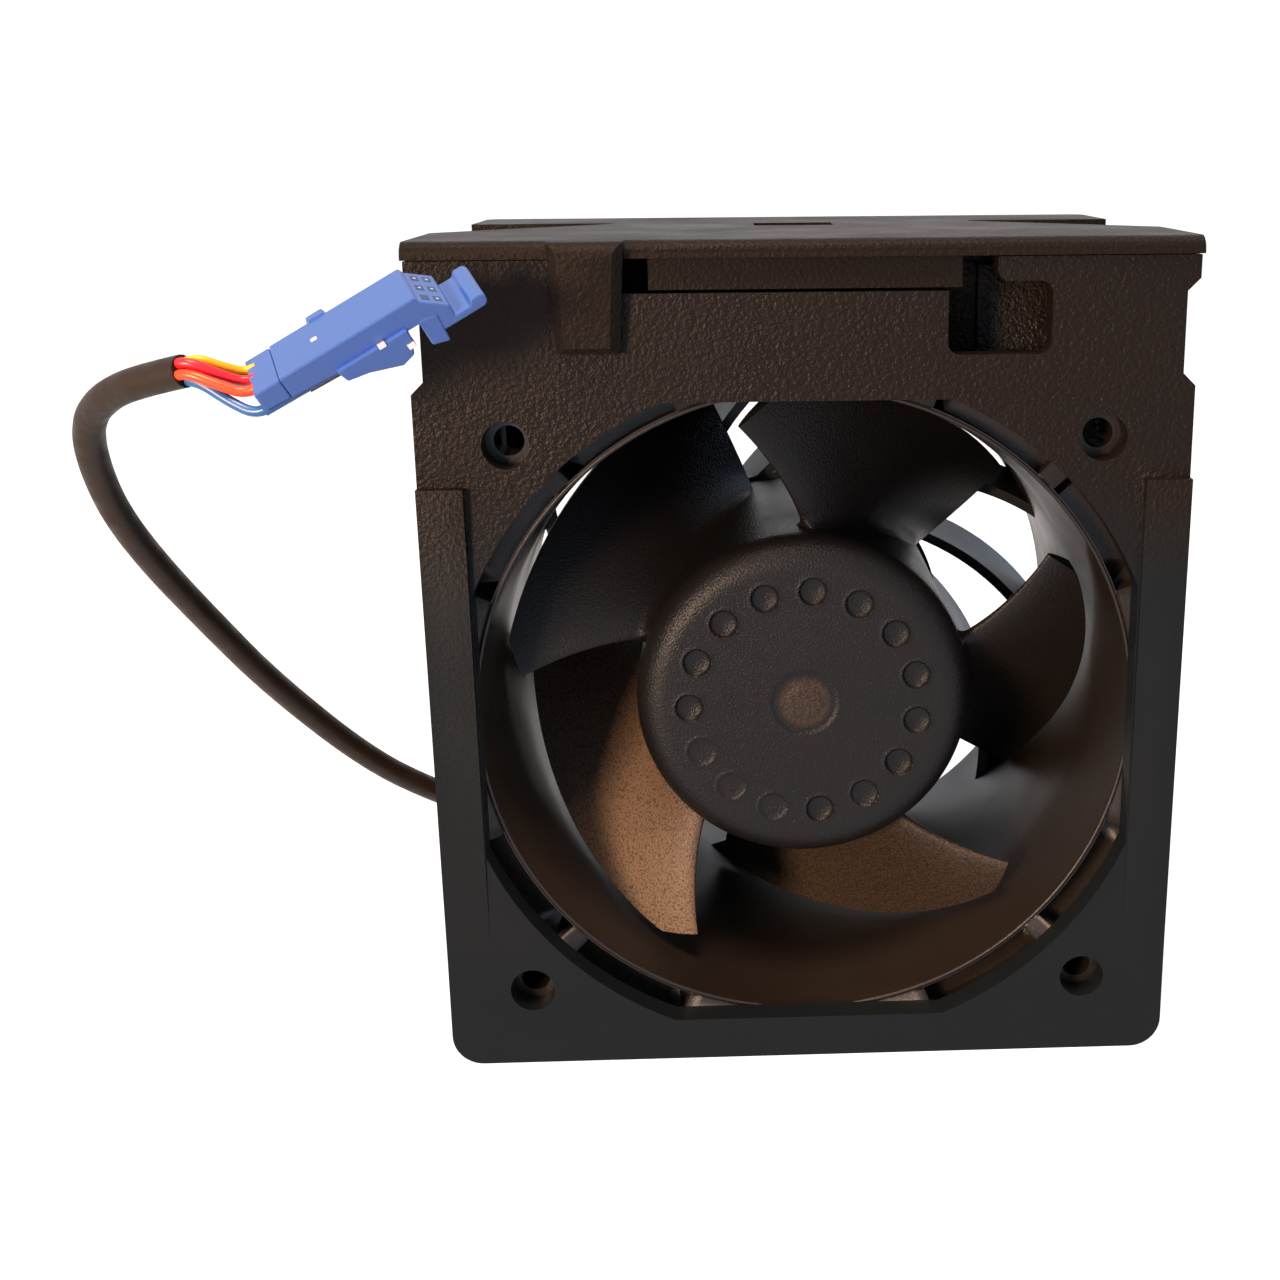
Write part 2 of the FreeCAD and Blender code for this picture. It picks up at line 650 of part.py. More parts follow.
# ---------------------------------------------------------------- fan frame
def fan_frame():
    """Shroud of the fan: two flanges and the duct with its bell mouth."""
    body = new_body("fan_frame_form", keep=False)
    duct = new_sketch(body, "YZ_Plane")
    outline(duct, [(FAN_FRONT + " + lip_setback", "lip_inner_radius"),
                   (FAN_FRONT + " + bell_length", "throat_radius"), (FAN_REAR, "throat_radius"),
                   (FAN_REAR, "duct_outer_radius"), (FAN_FRONT + " + lip_setback", "duct_outer_radius")])
    spin(body, "Revolution", duct)
    half = "fan_width / 2"
    for start in (FAN_FRONT, FAN_REAR + " - flange_thickness"):
        flange = new_sketch(body, "XZ_Plane", "-(" + start + ")")
        rectangle(flange, "-" + half, "-" + half, half, half)
        circle(flange, "0", "0", "(duct_outer_radius + lip_inner_radius) / 2")
        feature(body, "Pad", flange, Length="flange_thickness", Reversed=True)
    side = number(half)
    round_edges(body, "flange_corner_radius", lambda edge: along(edge, 1) and near(abs(edge.Vertexes[0].X), side)
                and near(abs(edge.Vertexes[0].Z), side))
    holes = new_sketch(body, "XZ_Plane")
    for x in ("-hole_pitch / 2", "hole_pitch / 2"):
        for z in ("-hole_pitch / 2", "hole_pitch / 2"):
            circle(holes, x, z, "flange_hole_diameter / 2")
    feature(body, "Pocket", holes, Length=FAN_REAR)

    # arc pockets round the lip, two in each corner with a rib between them
    for turn in ("pocket_rib_angle / 2", "-pocket_angle - pocket_rib_angle / 2"):
        arc = new_sketch(body, "YZ_Plane", turn=45 + number(turn))
        rectangle(arc, FAN_FRONT + " - 1", "pocket_inner_radius", FAN_FRONT + " + pocket_depth", "pocket_outer_radius")
        around(body, spin(body, "Groove", arc, Angle="pocket_angle"), "4")

    solid_part("fan_frame", body.Shape.cut(lead_channel()).removeSplitter())


def motor_base():
    """Shallow dish behind the hub, with a hole for the bearing tube."""
    base = new_body("motor_base")
    floor = BASE_REAR + " - base_floor"
    front = BASE_REAR + " - base_wall_length"
    dish = new_sketch(base, "YZ_Plane")
    outline(dish, [(front, "base_radius - base_wall"), (floor, "base_radius - base_wall"),
                   (floor, TUBE_OUTER + " + shaft_clearance"), (BASE_REAR, TUBE_OUTER + " + shaft_clearance"),
                   (BASE_REAR, "base_radius"), (front, "base_radius")])
    spin(base, "Revolution", dish)


def outlet_vanes():
    """Swept vanes between the motor base and the duct, one solid each."""
    count = int(number("vane_count"))
    vane = vane_shape()
    solid_part("outlet_vanes", Part.makeCompound([turned(vane, 360.0 / count * k) for k in range(count)]))


def vane_shape():
    """One outlet vane: a curved strip from the motor base to the duct, leaning with the swirl."""
    inner = number("base_radius - base_wall / 2")
    outer = number("(throat_radius + duct_outer_radius) / 2")
    joint = number("shaft_clearance")
    sweep, lean = number("vane_sweep"), number("vane_lean")
    rear = number(FAN_REAR + " - vane_setback")
    wires = []
    for depth, shift in ((rear - number("vane_length"), -lean / 2), (rear, lean / 2)):
        middle = math.sqrt(inner * outer)
        angles = [number("vane_phase") + shift + part for part in (sweep, sweep / 2, 0)]
        line = [on_circle(r, a, depth) for r, a in zip((inner, middle, outer), angles)]
        normal = (line[2] - line[0]).cross(V(0, 1, 0)).normalize() * (number("vane_thickness") / 2)
        one = [point + normal for point in line]
        two = [point - normal for point in line]
        wires.append(Part.Wire([Part.Arc(*one).toShape(), Part.makeLine(one[2], two[2]),
                                Part.Arc(two[2], two[1], two[0]).toShape(), Part.makeLine(two[0], one[0])]))
    room = ring_shape(number("base_radius") + joint, number("throat_radius") - joint, 0, rear + 1)
    return Part.makeLoft(wires, True, True).common(room)


def inner_lead_arc():
    """Arc of the lead between two vanes. It ends level, heading for the carrier's left wall."""
    depth = number(LEAD_Y)
    start = on_circle(number("base_radius + 0.65 * inner_lead_diameter"), 284.0, depth)
    end = V(-number("throat_radius") * 0.57, depth, number(LEAD_Z))
    radius = (start - end).Length ** 2 / (2 * (start.z - end.z))
    centre = V(end.x, depth, end.z + radius)
    middle = centre + ((start - centre) + (end - centre)).normalize() * radius
    return Part.Arc(start, middle, end)


def lead_channel():
    """Cut through the duct wall and rear flange for the lead, open to the rear."""
    width = number("inner_lead_diameter") / 2 + 0.3
    return box_between((-number("fan_width") / 2 - 1, number(LEAD_Y) - width, number(LEAD_Z) - width),
                       (-number("throat_radius") * 0.47, number(FAN_REAR) + 1, number(LEAD_Z) + width))


# ---------------------------------------------------------------- rotor
def impeller():
    """Moulded hub with dimples and gate mark, and five swept blades with round leading edges."""
    body = new_body("impeller_form", keep=False)
    profile = new_sketch(body, "YZ_Plane")
    inside = "hub_setback + hub_face"
    bore = "shaft_diameter / 2 + shaft_clearance"
    outline(profile, [("hub_setback", "0"), ("hub_setback", "hub_radius"), (HUB_REAR, "hub_radius"),
                      (HUB_REAR, "hub_radius - hub_wall"), (inside, "hub_radius - hub_wall"),
                      (inside, "hub_boss_radius"), (inside + " + hub_boss_length", "hub_boss_radius"),
                      (inside + " + hub_boss_length", bore), ("hub_setback + hub_face / 2", bore),
                      ("hub_setback + hub_face / 2", "0")])
    spin(body, "Revolution", profile)
    face, radius = number("hub_setback"), number("hub_radius")
    round_edges(body, "hub_edge_radius", lambda edge: edge.Closed and near(edge.CenterOfMass.y, face)
                and near(edge.Curve.Radius, radius))
    gate = circle(new_sketch(body, "XZ_Plane", "-hub_setback"), "0", "0", "gate_diameter / 2")
    feature(body, "Pocket", gate, Length="gate_depth")
    nub = circle(new_sketch(body, "XZ_Plane", "-hub_setback - gate_depth"), "0", "0", "gate_diameter / 4")
    feature(body, "Pad", nub, Length="gate_depth")
    dimple = circle(new_sketch(body, "XZ_Plane", "-hub_setback"), "0", "dimple_circle_radius", "dimple_diameter / 2")
    around(body, feature(body, "Pocket", dimple, Length="dimple_depth"), "dimple_count")

    shape = body.Shape
    blade = blade_shape().common(blade_envelope())
    count = int(number("blade_count"))
    shape = shape.fuse([turned(blade, 360.0 / count * k) for k in range(count)])
    solid_part("impeller", shape)


def blade_envelope():
    """Ring that trims a blade: buried in the hub inside, clear of the duct outside, bevelled in front."""
    inner, tip = number("hub_radius - hub_wall / 2"), number(TIP_RADIUS)
    front, rear = number("blade_front") - 2, number("blade_rear") + 2
    bevel = number("blade_tip_bevel")
    edge = number("blade_front") + 1.5 * bevel
    points = [V(0, front, inner), V(0, front, tip - (edge - front) / 1.3), V(0, edge, tip), V(0, rear, tip),
              V(0, rear, inner)]
    face = Part.Face(Part.makePolygon(points + points[:1]))
    return face.revolve(V(0, 0, 0), V(0, 1, 0), 360)


def blade_shape():
    """Loft through flat sections at rising distances from the axis, each a cambered round-nosed section."""
    root, tip = number("hub_radius"), number(TIP_RADIUS)
    distances = [root * 0.72, root, (root + tip) / 2, tip * 0.93, tip + 1]
    return Part.makeLoft([blade_section(distance) for distance in distances], True, False)


def blade_section(distance):
    """Wire of one flat blade section. Its camber line follows the blade's angle and depth."""
    root, tip = number("hub_radius"), number(TIP_RADIUS)
    front, rear = number("blade_front"), number("blade_rear")

    def share(radius):
        return max(0, min(1.1, (radius - root) / (tip - root)))

    def lead_angle(radius):
        return number("blade_root_angle") + share(radius) * number("blade_tip_angle - blade_root_angle")

    def trail_angle(radius):
        wrap = number("blade_root_wrap") + share(radius) * number("blade_tip_wrap - blade_root_wrap")
        return lead_angle(radius) - wrap

    def settle(angle_at):
        radius = distance
        for step in range(30):
            radius = (radius + distance / math.cos(math.radians(angle_at(radius)))) / 2
        return radius

    lead_radius, trail_radius = settle(lead_angle), settle(trail_angle)
    start = math.radians(lead_angle(lead_radius))
    end = math.radians(trail_angle(trail_radius))
    nose = front + (1 - share(lead_radius)) * number("blade_root_setback")
    thickness = number("blade_root_thickness") + share(distance) * number("blade_tip_thickness - blade_root_thickness")

    def camber(t):
        angle = start + (end - start) * t
        depth = nose + (rear - nose) * (0.72 * t + 0.28 * t * t)
        return V(distance, depth, distance * math.tan(angle))

    def half_thickness(t):
        return thickness * (1.32 * math.sqrt(t) - 0.62 * t - 1.1 * t * t + 0.55 * t ** 3)

    stations = [(i / 9.0) ** 1.8 for i in range(10)]
    upper, lower = [], []
    for t in stations:
        slope = (camber(min(t + 0.01, 1)) - camber(max(t - 0.01, 0))).normalize()
        across = slope.cross(V(1, 0, 0))
        upper.append(camber(t) + across * half_thickness(t))
        lower.append(camber(t) - across * half_thickness(t))
    skin = Part.BSplineCurve()
    skin.interpolate(upper[::-1] + lower[1:])
    return Part.Wire([skin.toShape(), Part.makeLine(lower[-1], upper[-1])])


def rotor_inside():
    """Steel yoke, bonded magnet, shaft, washer and retaining clip."""
    wall = number("yoke_thickness")
    front = number("hub_setback + hub_face + yoke_clearance")
    rear = number(HUB_REAR)
    outer = number(YOKE_OUTER)
    boss = number("hub_boss_radius + yoke_clearance")
    yoke = new_body("rotor_yoke")
    profile = new_sketch(yoke, "YZ_Plane")
    face = "hub_setback + hub_face + yoke_clearance"
    outline(profile, [(face, "hub_boss_radius + yoke_clearance"), (face, YOKE_OUTER), (HUB_REAR, YOKE_OUTER),
                      (HUB_REAR, YOKE_OUTER + " - yoke_thickness"),
                      (face + " + yoke_thickness", YOKE_OUTER + " - yoke_thickness"),
                      (face + " + yoke_thickness", "hub_boss_radius + yoke_clearance")])
    spin(yoke, "Revolution", profile)

    magnet = new_body("rotor_magnet")
    profile = rectangle(new_sketch(magnet, "YZ_Plane"), HUB_REAR + " - magnet_length",
                        MAGNET_OUTER + " - magnet_thickness", HUB_REAR, MAGNET_OUTER)
    spin(magnet, "Revolution", profile)

    shaft = new_body("motor_shaft")
    radius = "shaft_diameter / 2"
    clip = REAR_BEARING + " + bearing_width + shaft_clearance"
    groove = radius + " - clip_groove_depth"
    profile = new_sketch(shaft, "YZ_Plane")
    outline(profile, [("hub_setback + hub_face / 2 + shaft_clearance", "0"),
                      ("hub_setback + hub_face / 2 + shaft_clearance", radius), (clip, radius), (clip, groove),
                      (clip + " + clip_thickness + shaft_clearance", groove),
                      (clip + " + clip_thickness + shaft_clearance", radius), ("shaft_rear", radius),
                      ("shaft_rear", "0")])
    spin(shaft, "Revolution", profile)

    ring = new_body("retaining_clip")
    profile = rectangle(new_sketch(ring, "YZ_Plane"), clip + " + shaft_clearance", groove + " + shaft_clearance",
                        clip + " + clip_thickness", "clip_radius")
    spin(ring, "Revolution", profile)

    washer = new_body("preload_washer")
    profile = rectangle(new_sketch(washer, "YZ_Plane"),
                        "hub_setback + hub_face + hub_boss_length + shaft_clearance",
                        radius + " + shaft_clearance", "front_bearing_start - shaft_clearance",
                        radius + " + race_thickness")
    spin(washer, "Revolution", profile)


# ---------------------------------------------------------------- motor
def bearings():
    """Two ball bearings: outer races, inner races and balls, each kind one node."""
    shaft = number("shaft_diameter / 2 + shaft_clearance")
    outer = number("bearing_outer_diameter / 2")
    race, width = number("race_thickness"), number("bearing_width")
    starts = [number("front_bearing_start"), number(REAR_BEARING)]
    solid_part("bearing_outer_races",
               Part.makeCompound([ring_shape(outer - race, outer, y, y + width) for y in starts]))
    solid_part("bearing_inner_races",
               Part.makeCompound([ring_shape(shaft, shaft + race, y, y + width) for y in starts]))
    ball = (outer - race - shaft - race) / 2 - number("ball_clearance")
    circle_radius = (outer + shaft) / 2
    count = int(number("ball_count"))
    balls = []
    for y in starts:
        for k in range(count):
            centre = on_circle(circle_radius, 360.0 / count * k, y + width / 2)
            balls.append(Part.makeSphere(ball, centre, V(0, 1, 0)))
    solid_part("bearing_balls", Part.makeCompound(balls))


def bearing_tube():
    """Brass tube from the motor base that carries both bearings, with a shoulder between them."""
    body = new_body("bearing_tube")
    profile = new_sketch(body, "YZ_Plane")
    first = "front_bearing_start + bearing_width + shaft_clearance"
    last = REAR_BEARING + " - shaft_clearance"
    outline(profile, [("front_bearing_start", TUBE_INNER), (first, TUBE_INNER), (first, TUBE_INNER + " - tube_shoulder"),
                      (last, TUBE_INNER + " - tube_shoulder"), (last, TUBE_INNER), (BASE_REAR, TUBE_INNER),
                      (BASE_REAR, TUBE_OUTER), ("front_bearing_start", TUBE_OUTER)])
    spin(body, "Revolution", profile)
    cap = new_body("bearing_cap")
    disc = circle(new_sketch(cap, "XZ_Plane", "-(" + BASE_REAR + " + shaft_clearance)"), "0", "0", "cap_radius")
    feature(cap, "Pad", disc, Length="cap_thickness", Reversed=True)


def pole_outline(inner, outer, width, shoe, shoe_angle, start, end):
    """Stator lamination: a hub ring, straight poles and curved pole shoes."""
    star = ring_shape(number(TUBE_OUTER) + number("shaft_clearance"), inner, start, end)
    count = int(number("pole_count"))
    tips = []
    for k in range(count):
        neck = box_between((inner - 0.6, start, -width / 2), (outer - shoe / 2, end, width / 2))
        head = ring_shape(outer - shoe, outer, start, end)
        half = math.radians(shoe_angle / 2)
        reach = outer * 2
        wedge = Part.Face(Part.makePolygon([V(0, start, 0), V(reach, start, -reach * math.tan(half)),
                                            V(reach, start, reach * math.tan(half)), V(0, start, 0)]))
        head = head.common(wedge.extrude(V(0, end - start, 0)))
        tips += [turned(neck, 360.0 / count * k), turned(head, 360.0 / count * k)]
    return star.fuse(tips).removeSplitter()


def stator():
    """Laminated core on the bearing tube, moulded insulators on both ends, and one coil per pole."""
    start = number("core_start")
    end = start + number("core_length")
    hub, radius = number("core_hub_radius"), number(CORE_RADIUS)
    width, shoe = number("pole_width"), number("pole_shoe_thickness")
    angle, cover = number("pole_shoe_angle"), number("insulator_thickness")
    solid_part("stator_core", pole_outline(hub, radius, width, shoe, angle, start, end))
    rim = radius - 0.3
    plates = [pole_outline(hub, rim, width, shoe, angle - 6, start - cover, start),
              pole_outline(hub, rim, width, shoe, angle - 6, end, end + cover)]
    solid_part("winding_insulators", Part.makeCompound(plates))
    coil = number("coil_thickness")
    gap = 0.1
    low, high = hub + gap, rim - shoe - gap
    inner = box_between((low, start - cover - gap, -width / 2 - gap), (high, end + cover + gap, width / 2 + gap))
    outer = box_between((low, start - cover - coil, -width / 2 - coil), (high, end + cover + coil, width / 2 + coil))
    lengthwise = [edge for edge in outer.Edges if along(edge, 0)]
    winding = outer.makeFillet(coil * 0.8, lengthwise).cut(inner)
    limit = ring_shape(0, rim - shoe - gap, start - 5, end + 5)
    winding = winding.common(limit)
    count = int(number("pole_count"))
    solid_part("stator_coils", Part.makeCompound([turned(winding, 360.0 / count * k) for k in range(count)]))


def electronics():
    """Ring-shaped drive board on the motor base, with the parts that stand on its front."""
    rear = number(BASE_REAR + " - base_floor - board_gap")
    front = rear - number("board_thickness")
    board = new_body("circuit_board")
    plane = new_sketch(board, "XZ_Plane", "-(" + BASE_REAR + " - base_floor - board_gap - board_thickness)")
    circle(plane, "0", "0", "board_radius")
    circle(plane, "0", "0", TUBE_OUTER + " + fan_side_gap")
    feature(board, "Pad", plane, Length="board_thickness", Reversed=True)

    chip = box_between((-2.0, front - 1.3, 8.0), (2.0, front - 0.15, 11.9))
    legs = []
    for i in range(4):
        for z in (7.4, 11.9):
            legs.append(box_between((-1.7 + 1.0 * i, front - 0.55, z), (-1.3 + 1.0 * i, front, z + 0.6)))
    solid_part("drive_chip", chip.fuse(legs))
    solid_part("hall_sensor", turned(box_between((8.2, front - 1.5, -0.8), (9.6, front, 0.8)), 45))
    cans = []
    for angle in (200.0, 235.0, 305.0):
        place = on_circle(10.2, angle, front - 1.1)
        cans.append(Part.makeCylinder(1.25, 1.1, place, V(0, 1, 0)))
    solid_part("board_capacitors", Part.makeCompound(cans))

    # three posts of the base carry the board
    posts = []
    for angle in (90.0, 180.0, 325.0):
        place = on_circle(number("board_radius") - 1.5, angle, rear)
        posts.append(Part.makeCylinder(0.9, number("board_gap"), place, V(0, 1, 0)))
    solid_part("board_spacers", Part.makeCompound(posts))


# ---------------------------------------------------------------- lead
def round_path(points):
    """Straight runs joined by tangent arcs; each arc takes 0.45 of its shorter run."""
    edges, radii = [], []
    start = points[0]
    for i in range(1, len(points) - 1):
        before, here, after = points[i - 1], points[i], points[i + 1]
        back = (before - here)
        ahead = (after - here)
        cut = 0.45 * min(back.Length, ahead.Length)
        back.normalize()
        ahead.normalize()
        turn = math.pi - back.getAngle(ahead)
        radius = cut / math.tan(turn / 2)
        radii.append((round(radius, 1), round(math.degrees(turn))))
        first, last = here + back * cut, here + ahead * cut
        bisector = (back + ahead).normalize()
        middle = here + bisector * (math.hypot(radius, cut) - radius)
        edges.append(Part.LineSegment(start, first).toShape())
        edges.append(Part.Arc(first, middle, last).toShape())
        start = last
    edges.append(Part.LineSegment(start, points[-1]).toShape())
    return Part.Wire(edges), radii


def tube(label, points, diameter):
    """Plain round cord along a route of hand-chosen points."""
    wire, radii = round_path([V(*point) for point in points])
    direction = V(*points[1]) - V(*points[0])
    section = Part.Wire(Part.makeCircle(diameter / 2, V(*points[0]), direction))
    shape = wire.makePipeShell([section], True, False)
    expected = math.pi * diameter * diameter / 4 * wire.Length
    print("%s length %.1f mm, volume %.2f of %.2f, radii and turns %s" % (
        label, wire.Length, shape.Volume, expected, radii))
    if abs(shape.Volume / expected - 1) > 0.02:
        raise ValueError(label + " has the wrong volume")
    return solid_part(label, shape, on_axis=False)


# Route of the sleeved lead, in the module's own frame: out of the left wall near the rear, up and
# forward in one stiff bow, over a bend and down towards the plug.
SLEEVE_ROUTE = [
    (-32.26, 18.1, 9.1), (-34.9, 18.1, 9.1), (-39.0, 15.4, 11.8), (-45.2, 9.6, 18.2), (-51.8, 0.4, 29.9),
    (-55.0, -6.3, 38.3), (-57.4, -13.0, 46.1), (-58.4, -18.0, 52.0), (-57.9, -22.6, 57.5),
    (-56.6, -25.5, 61.0), (-53.8, -28.3, 63.2), (-50.2, -31.1, 64.6), (-46.4, -32.8, 65.5)]

# Routes of the bare wires from the end of the sleeve to the plug.
WIRE_ROUTES = {
    "wire_yellow": [
        (-46.28, -32.38, 66.10), (-45.46, -32.65, 66.41), (-43.93, -31.84, 65.64), (-42.44, -30.74, 65.00),
        (-41.65, -30.74, 65.44)],
    "wire_red": [
        (-46.63, -33.17, 66.10), (-45.84, -33.55, 66.30), (-43.96, -33.00, 65.30), (-42.13, -32.21, 64.45),
        (-41.34, -32.21, 64.89)],
    "wire_orange": [
        (-46.58, -33.49, 65.29), (-45.82, -33.93, 65.49), (-43.76, -34.02, 64.66), (-41.80, -33.77, 63.86),
        (-41.02, -33.77, 64.30)],
    "wire_blue": [
        (-46.19, -32.89, 64.79), (-45.34, -33.20, 64.83), (-43.03, -33.73, 63.33), (-41.01, -34.27, 62.44),
        (-40.23, -34.27, 62.87)],
    "wire_black": [
        (-46.01, -32.21, 65.29), (-45.17, -32.56, 65.37), (-42.82, -31.64, 64.21), (-40.27, -30.44, 63.09),
        (-38.65, -30.48, 64.09), (-34.83, -30.52, 66.34)]
}


def lead_pieces():
    """Lead inside the fan, grommet in the carrier's wall, sleeve and the five bare wires."""
    arc = inner_lead_arc()
    start, corner = arc.StartPoint, arc.EndPoint
    wall = -number(HALF_BODY + " + grommet_collar")
    wire = Part.Wire([arc.toShape(), Part.makeLine(corner, V(wall, corner.y, corner.z))])
    tangent = arc.tangent(arc.FirstParameter)[0]
    section = Part.Wire(Part.makeCircle(number("inner_lead_diameter") / 2, start, tangent))
    solid_part("inner_lead", wire.makePipeShell([section], True, False))

    grommet = new_body("lead_grommet")
    waist = new_sketch(grommet, "YZ_Plane", "-" + HALF_BODY)
    half = "(lead_slot_width / 2 - shaft_clearance)"
    rectangle(waist, LEAD_Y + " - " + half, LEAD_Z + " - " + half, "carrier_depth", LEAD_Z + " + " + half)
    feature(grommet, "Pad", waist, Length="wall_thickness")
    collar = circle(new_sketch(grommet, "YZ_Plane", "-" + HALF_BODY), LEAD_Y, LEAD_Z, "grommet_collar_radius")
    feature(grommet, "Pad", collar, Length="grommet_collar", Reversed=True)
    bore = new_sketch(grommet, "YZ_Plane", "-" + HALF_BODY + " - grommet_collar")
    circle(bore, LEAD_Y, LEAD_Z, "inner_lead_diameter / 2 + shaft_clearance")
    feature(grommet, "Pocket", bore, Length="wall_thickness + grommet_collar", Reversed=True)

    tube("cable_sleeve", SLEEVE_ROUTE, number("lead_diameter"))
    for label, route in WIRE_ROUTES.items():
        tube(label, route, number("wire_diameter"))


# ---------------------------------------------------------------- connector
def stand_plug(piece):
    """Tilt a piece that is drawn along the plug's own axis into the plug's place."""
    piece.Placement = Placement(V(0, 0, 0), Rotation(0, number("plug_pitch"), number("plug_roll")))
    for axis in "xyz":
        piece.setExpression("Placement.Base." + axis, "Sizes.plug_" + axis)


def connector():
    """Plug in its own frame: X to the mating end, Z out of its upper face, origin at the rear edge."""
    body = new_body("connector_housing", keep=False)
    parts.append(body)
    stand_plug(body)
    half, nose = "plug_width / 2", "plug_length + plug_nose_length"
    for offset, length, side, low, high in (
            ("0", "plug_length", half, "-plug_thickness", "0"),
            ("plug_length", "plug_nose_length", "plug_nose_width / 2", "-plug_thickness + 0.2", "-0.35"),
            (nose, "plug_key_length", "plug_nose_width / 2 - 0.2", "-1.9", "-0.55")):
        sketch = new_sketch(body, "YZ_Plane", offset)
        rectangle(sketch, "-(" + side + ")", low, "(" + side + ")", high)
        feature(body, "Pad", sketch, Length=length)
    tip = number(nose + " + plug_key_length")
    lip = new_sketch(body, "YZ_Plane", nose + " + plug_key_length - plug_lip_length")
    rectangle(lip, "-(plug_nose_width / 2 - 0.2)", "-0.55", "(plug_nose_width / 2 - 0.2)", "0.25")
    feature(body, "Pad", lip, Length="plug_lip_length")
    round_edges(body, "plug_edge_radius", lambda edge: along(edge, 1) and near(edge.Vertexes[0].X, tip))

    # bevel on the far upper edge, rounded hump on the far side, lower foot in front
    top = number(half)
    round_edges(body, "plug_edge_radius", lambda edge: along(edge, 0) and near(edge.Vertexes[0].Y, top)
                and near(edge.Vertexes[0].Z, 0), "Chamfer")
    hump = new_sketch(body, "XY_Plane", "-plug_edge_radius - 0.1")
    outline(hump, [("5.2", half), ("6.9", half), ("6.5", half + " + 0.6"), ("5.6", half + " + 0.6")])
    feature(body, "Pad", hump, Length="1.1", Reversed=True)
    foot = rectangle(new_sketch(body, "YZ_Plane", "plug_length - 0.6"), "-2.2", "-plug_thickness - 1.5", "0.6",
                     "-plug_thickness")
    feature(body, "Pad", foot, Length="1.9")

    # latch lever below, held clear of the housing by two posts
    lever = "-plug_thickness - plug_latch_height"
    arm = rectangle(new_sketch(body, "XZ_Plane", "plug_width / 2 - 0.2"), "6.4", lever, "12.2", lever + " + 0.75")
    feature(body, "Pad", arm, Length="plug_latch_width", Reversed=True)
    for left, right in (("6.4", "7.9"), ("10.1", "10.6")):
        post = rectangle(new_sketch(body, "XZ_Plane", "plug_width / 2 - 0.2"), left, lever + " + 0.75", right,
                         "-plug_thickness")
        feature(body, "Pad", post, Length="plug_latch_width", Reversed=True)
    keeper = rectangle(new_sketch(body, "XZ_Plane", "-0.2"), "7.22", "-plug_thickness - 1.1", "8.6", "-plug_thickness")
    feature(body, "Pad", keeper, Length="2.2", Reversed=True)

    # contact windows in the nose, mark and seam on the upper face
    windows = new_sketch(body, "XY_Plane", "-0.35")
    for x in CONTACT_COLUMNS:
        for y in CONTACT_ROWS:
            rectangle(windows, "plug_length + %s - contact_window / 2" % x, "%s - contact_window / 2" % y,
                      "plug_length + %s + contact_window / 2" % x, "%s + contact_window / 2" % y)
    feature(body, "Pocket", windows, Length="contact_window_depth")
    mark = circle(new_sketch(body, "XY_Plane"), "5.3", "-0.1", "0.4")
    feature(body, "Pocket", mark, Length="0.25")
    seam = rectangle(new_sketch(body, "XY_Plane"), "1.75", "-(%s) - 1" % half, "1.9", half + " + 1")
    feature(body, "Pocket", seam, Length="0.12")

    # metal contacts on the floors of five of the six windows
    size, depth = number("contact_size"), number("contact_window_depth")
    pins = []
    for x in CONTACT_COLUMNS:
        for y in CONTACT_ROWS:
            if (x, y) != (CONTACT_COLUMNS[1], CONTACT_ROWS[0]):
                centre = (number("plug_length + %s" % x), float(y))
                pins.append(box_between((centre[0] - size / 2, centre[1] - size / 2, -0.35 - depth),
                                        (centre[0] + size / 2, centre[1] + size / 2, -0.35 - depth / 2)))
    piece = doc.addObject("Part::Feature", "connector_contacts")
    piece.Label = "connector_contacts"
    piece.Shape = Part.makeCompound(pins)
    stand_plug(piece)
    parts.append(piece)


CONTACT_COLUMNS = ("0.65", "1.55")
CONTACT_ROWS = ("-1.7", "0", "1.7")

BUILDERS = [carrier_housing, top_cover, fan_frame, motor_base, outlet_vanes, impeller, rotor_inside,
            bearings, bearing_tube, stator, electronics, lead_pieces, connector]
for build in BUILDERS:
    build()

doc.recompute()
for item in doc.Objects:
    if "Invalid" in item.State or "Error" in item.State:
        raise ValueError("%s failed: %s" % (item.Label, item.State))
os.makedirs("parts", exist_ok=True)
for piece in parts:
    shape = piece.Shape
    if shape.isNull() or not shape.isValid() or not shape.Solids:
        raise ValueError(piece.Label + " has no valid shape")
    shape.exportStep("parts/%s.step" % piece.Label)
print("%d sub-parts written" % len(parts))
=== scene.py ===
import bmesh
import bpy
import math
import numpy as np
from mathutils import Euler, Matrix, Vector


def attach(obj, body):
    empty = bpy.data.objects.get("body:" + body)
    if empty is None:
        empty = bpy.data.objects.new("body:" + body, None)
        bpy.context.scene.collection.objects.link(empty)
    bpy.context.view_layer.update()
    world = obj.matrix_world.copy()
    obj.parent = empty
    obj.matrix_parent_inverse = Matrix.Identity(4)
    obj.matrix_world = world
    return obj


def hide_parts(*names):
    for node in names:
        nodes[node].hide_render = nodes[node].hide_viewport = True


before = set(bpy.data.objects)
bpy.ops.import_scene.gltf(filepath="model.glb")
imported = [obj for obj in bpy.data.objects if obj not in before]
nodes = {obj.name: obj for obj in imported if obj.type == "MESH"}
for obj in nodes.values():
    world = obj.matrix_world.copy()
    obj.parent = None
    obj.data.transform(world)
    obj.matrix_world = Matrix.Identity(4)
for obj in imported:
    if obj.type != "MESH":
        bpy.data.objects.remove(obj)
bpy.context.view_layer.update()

# ---- Table, light and camera -------------------------------------------------------------------
# The module stands upright on a white table with its intake to the viewer. A warm lamp stands low on
# the left in front, another stands above, and the room around is evenly lit by a cool, pale sky.
MM = 0.001


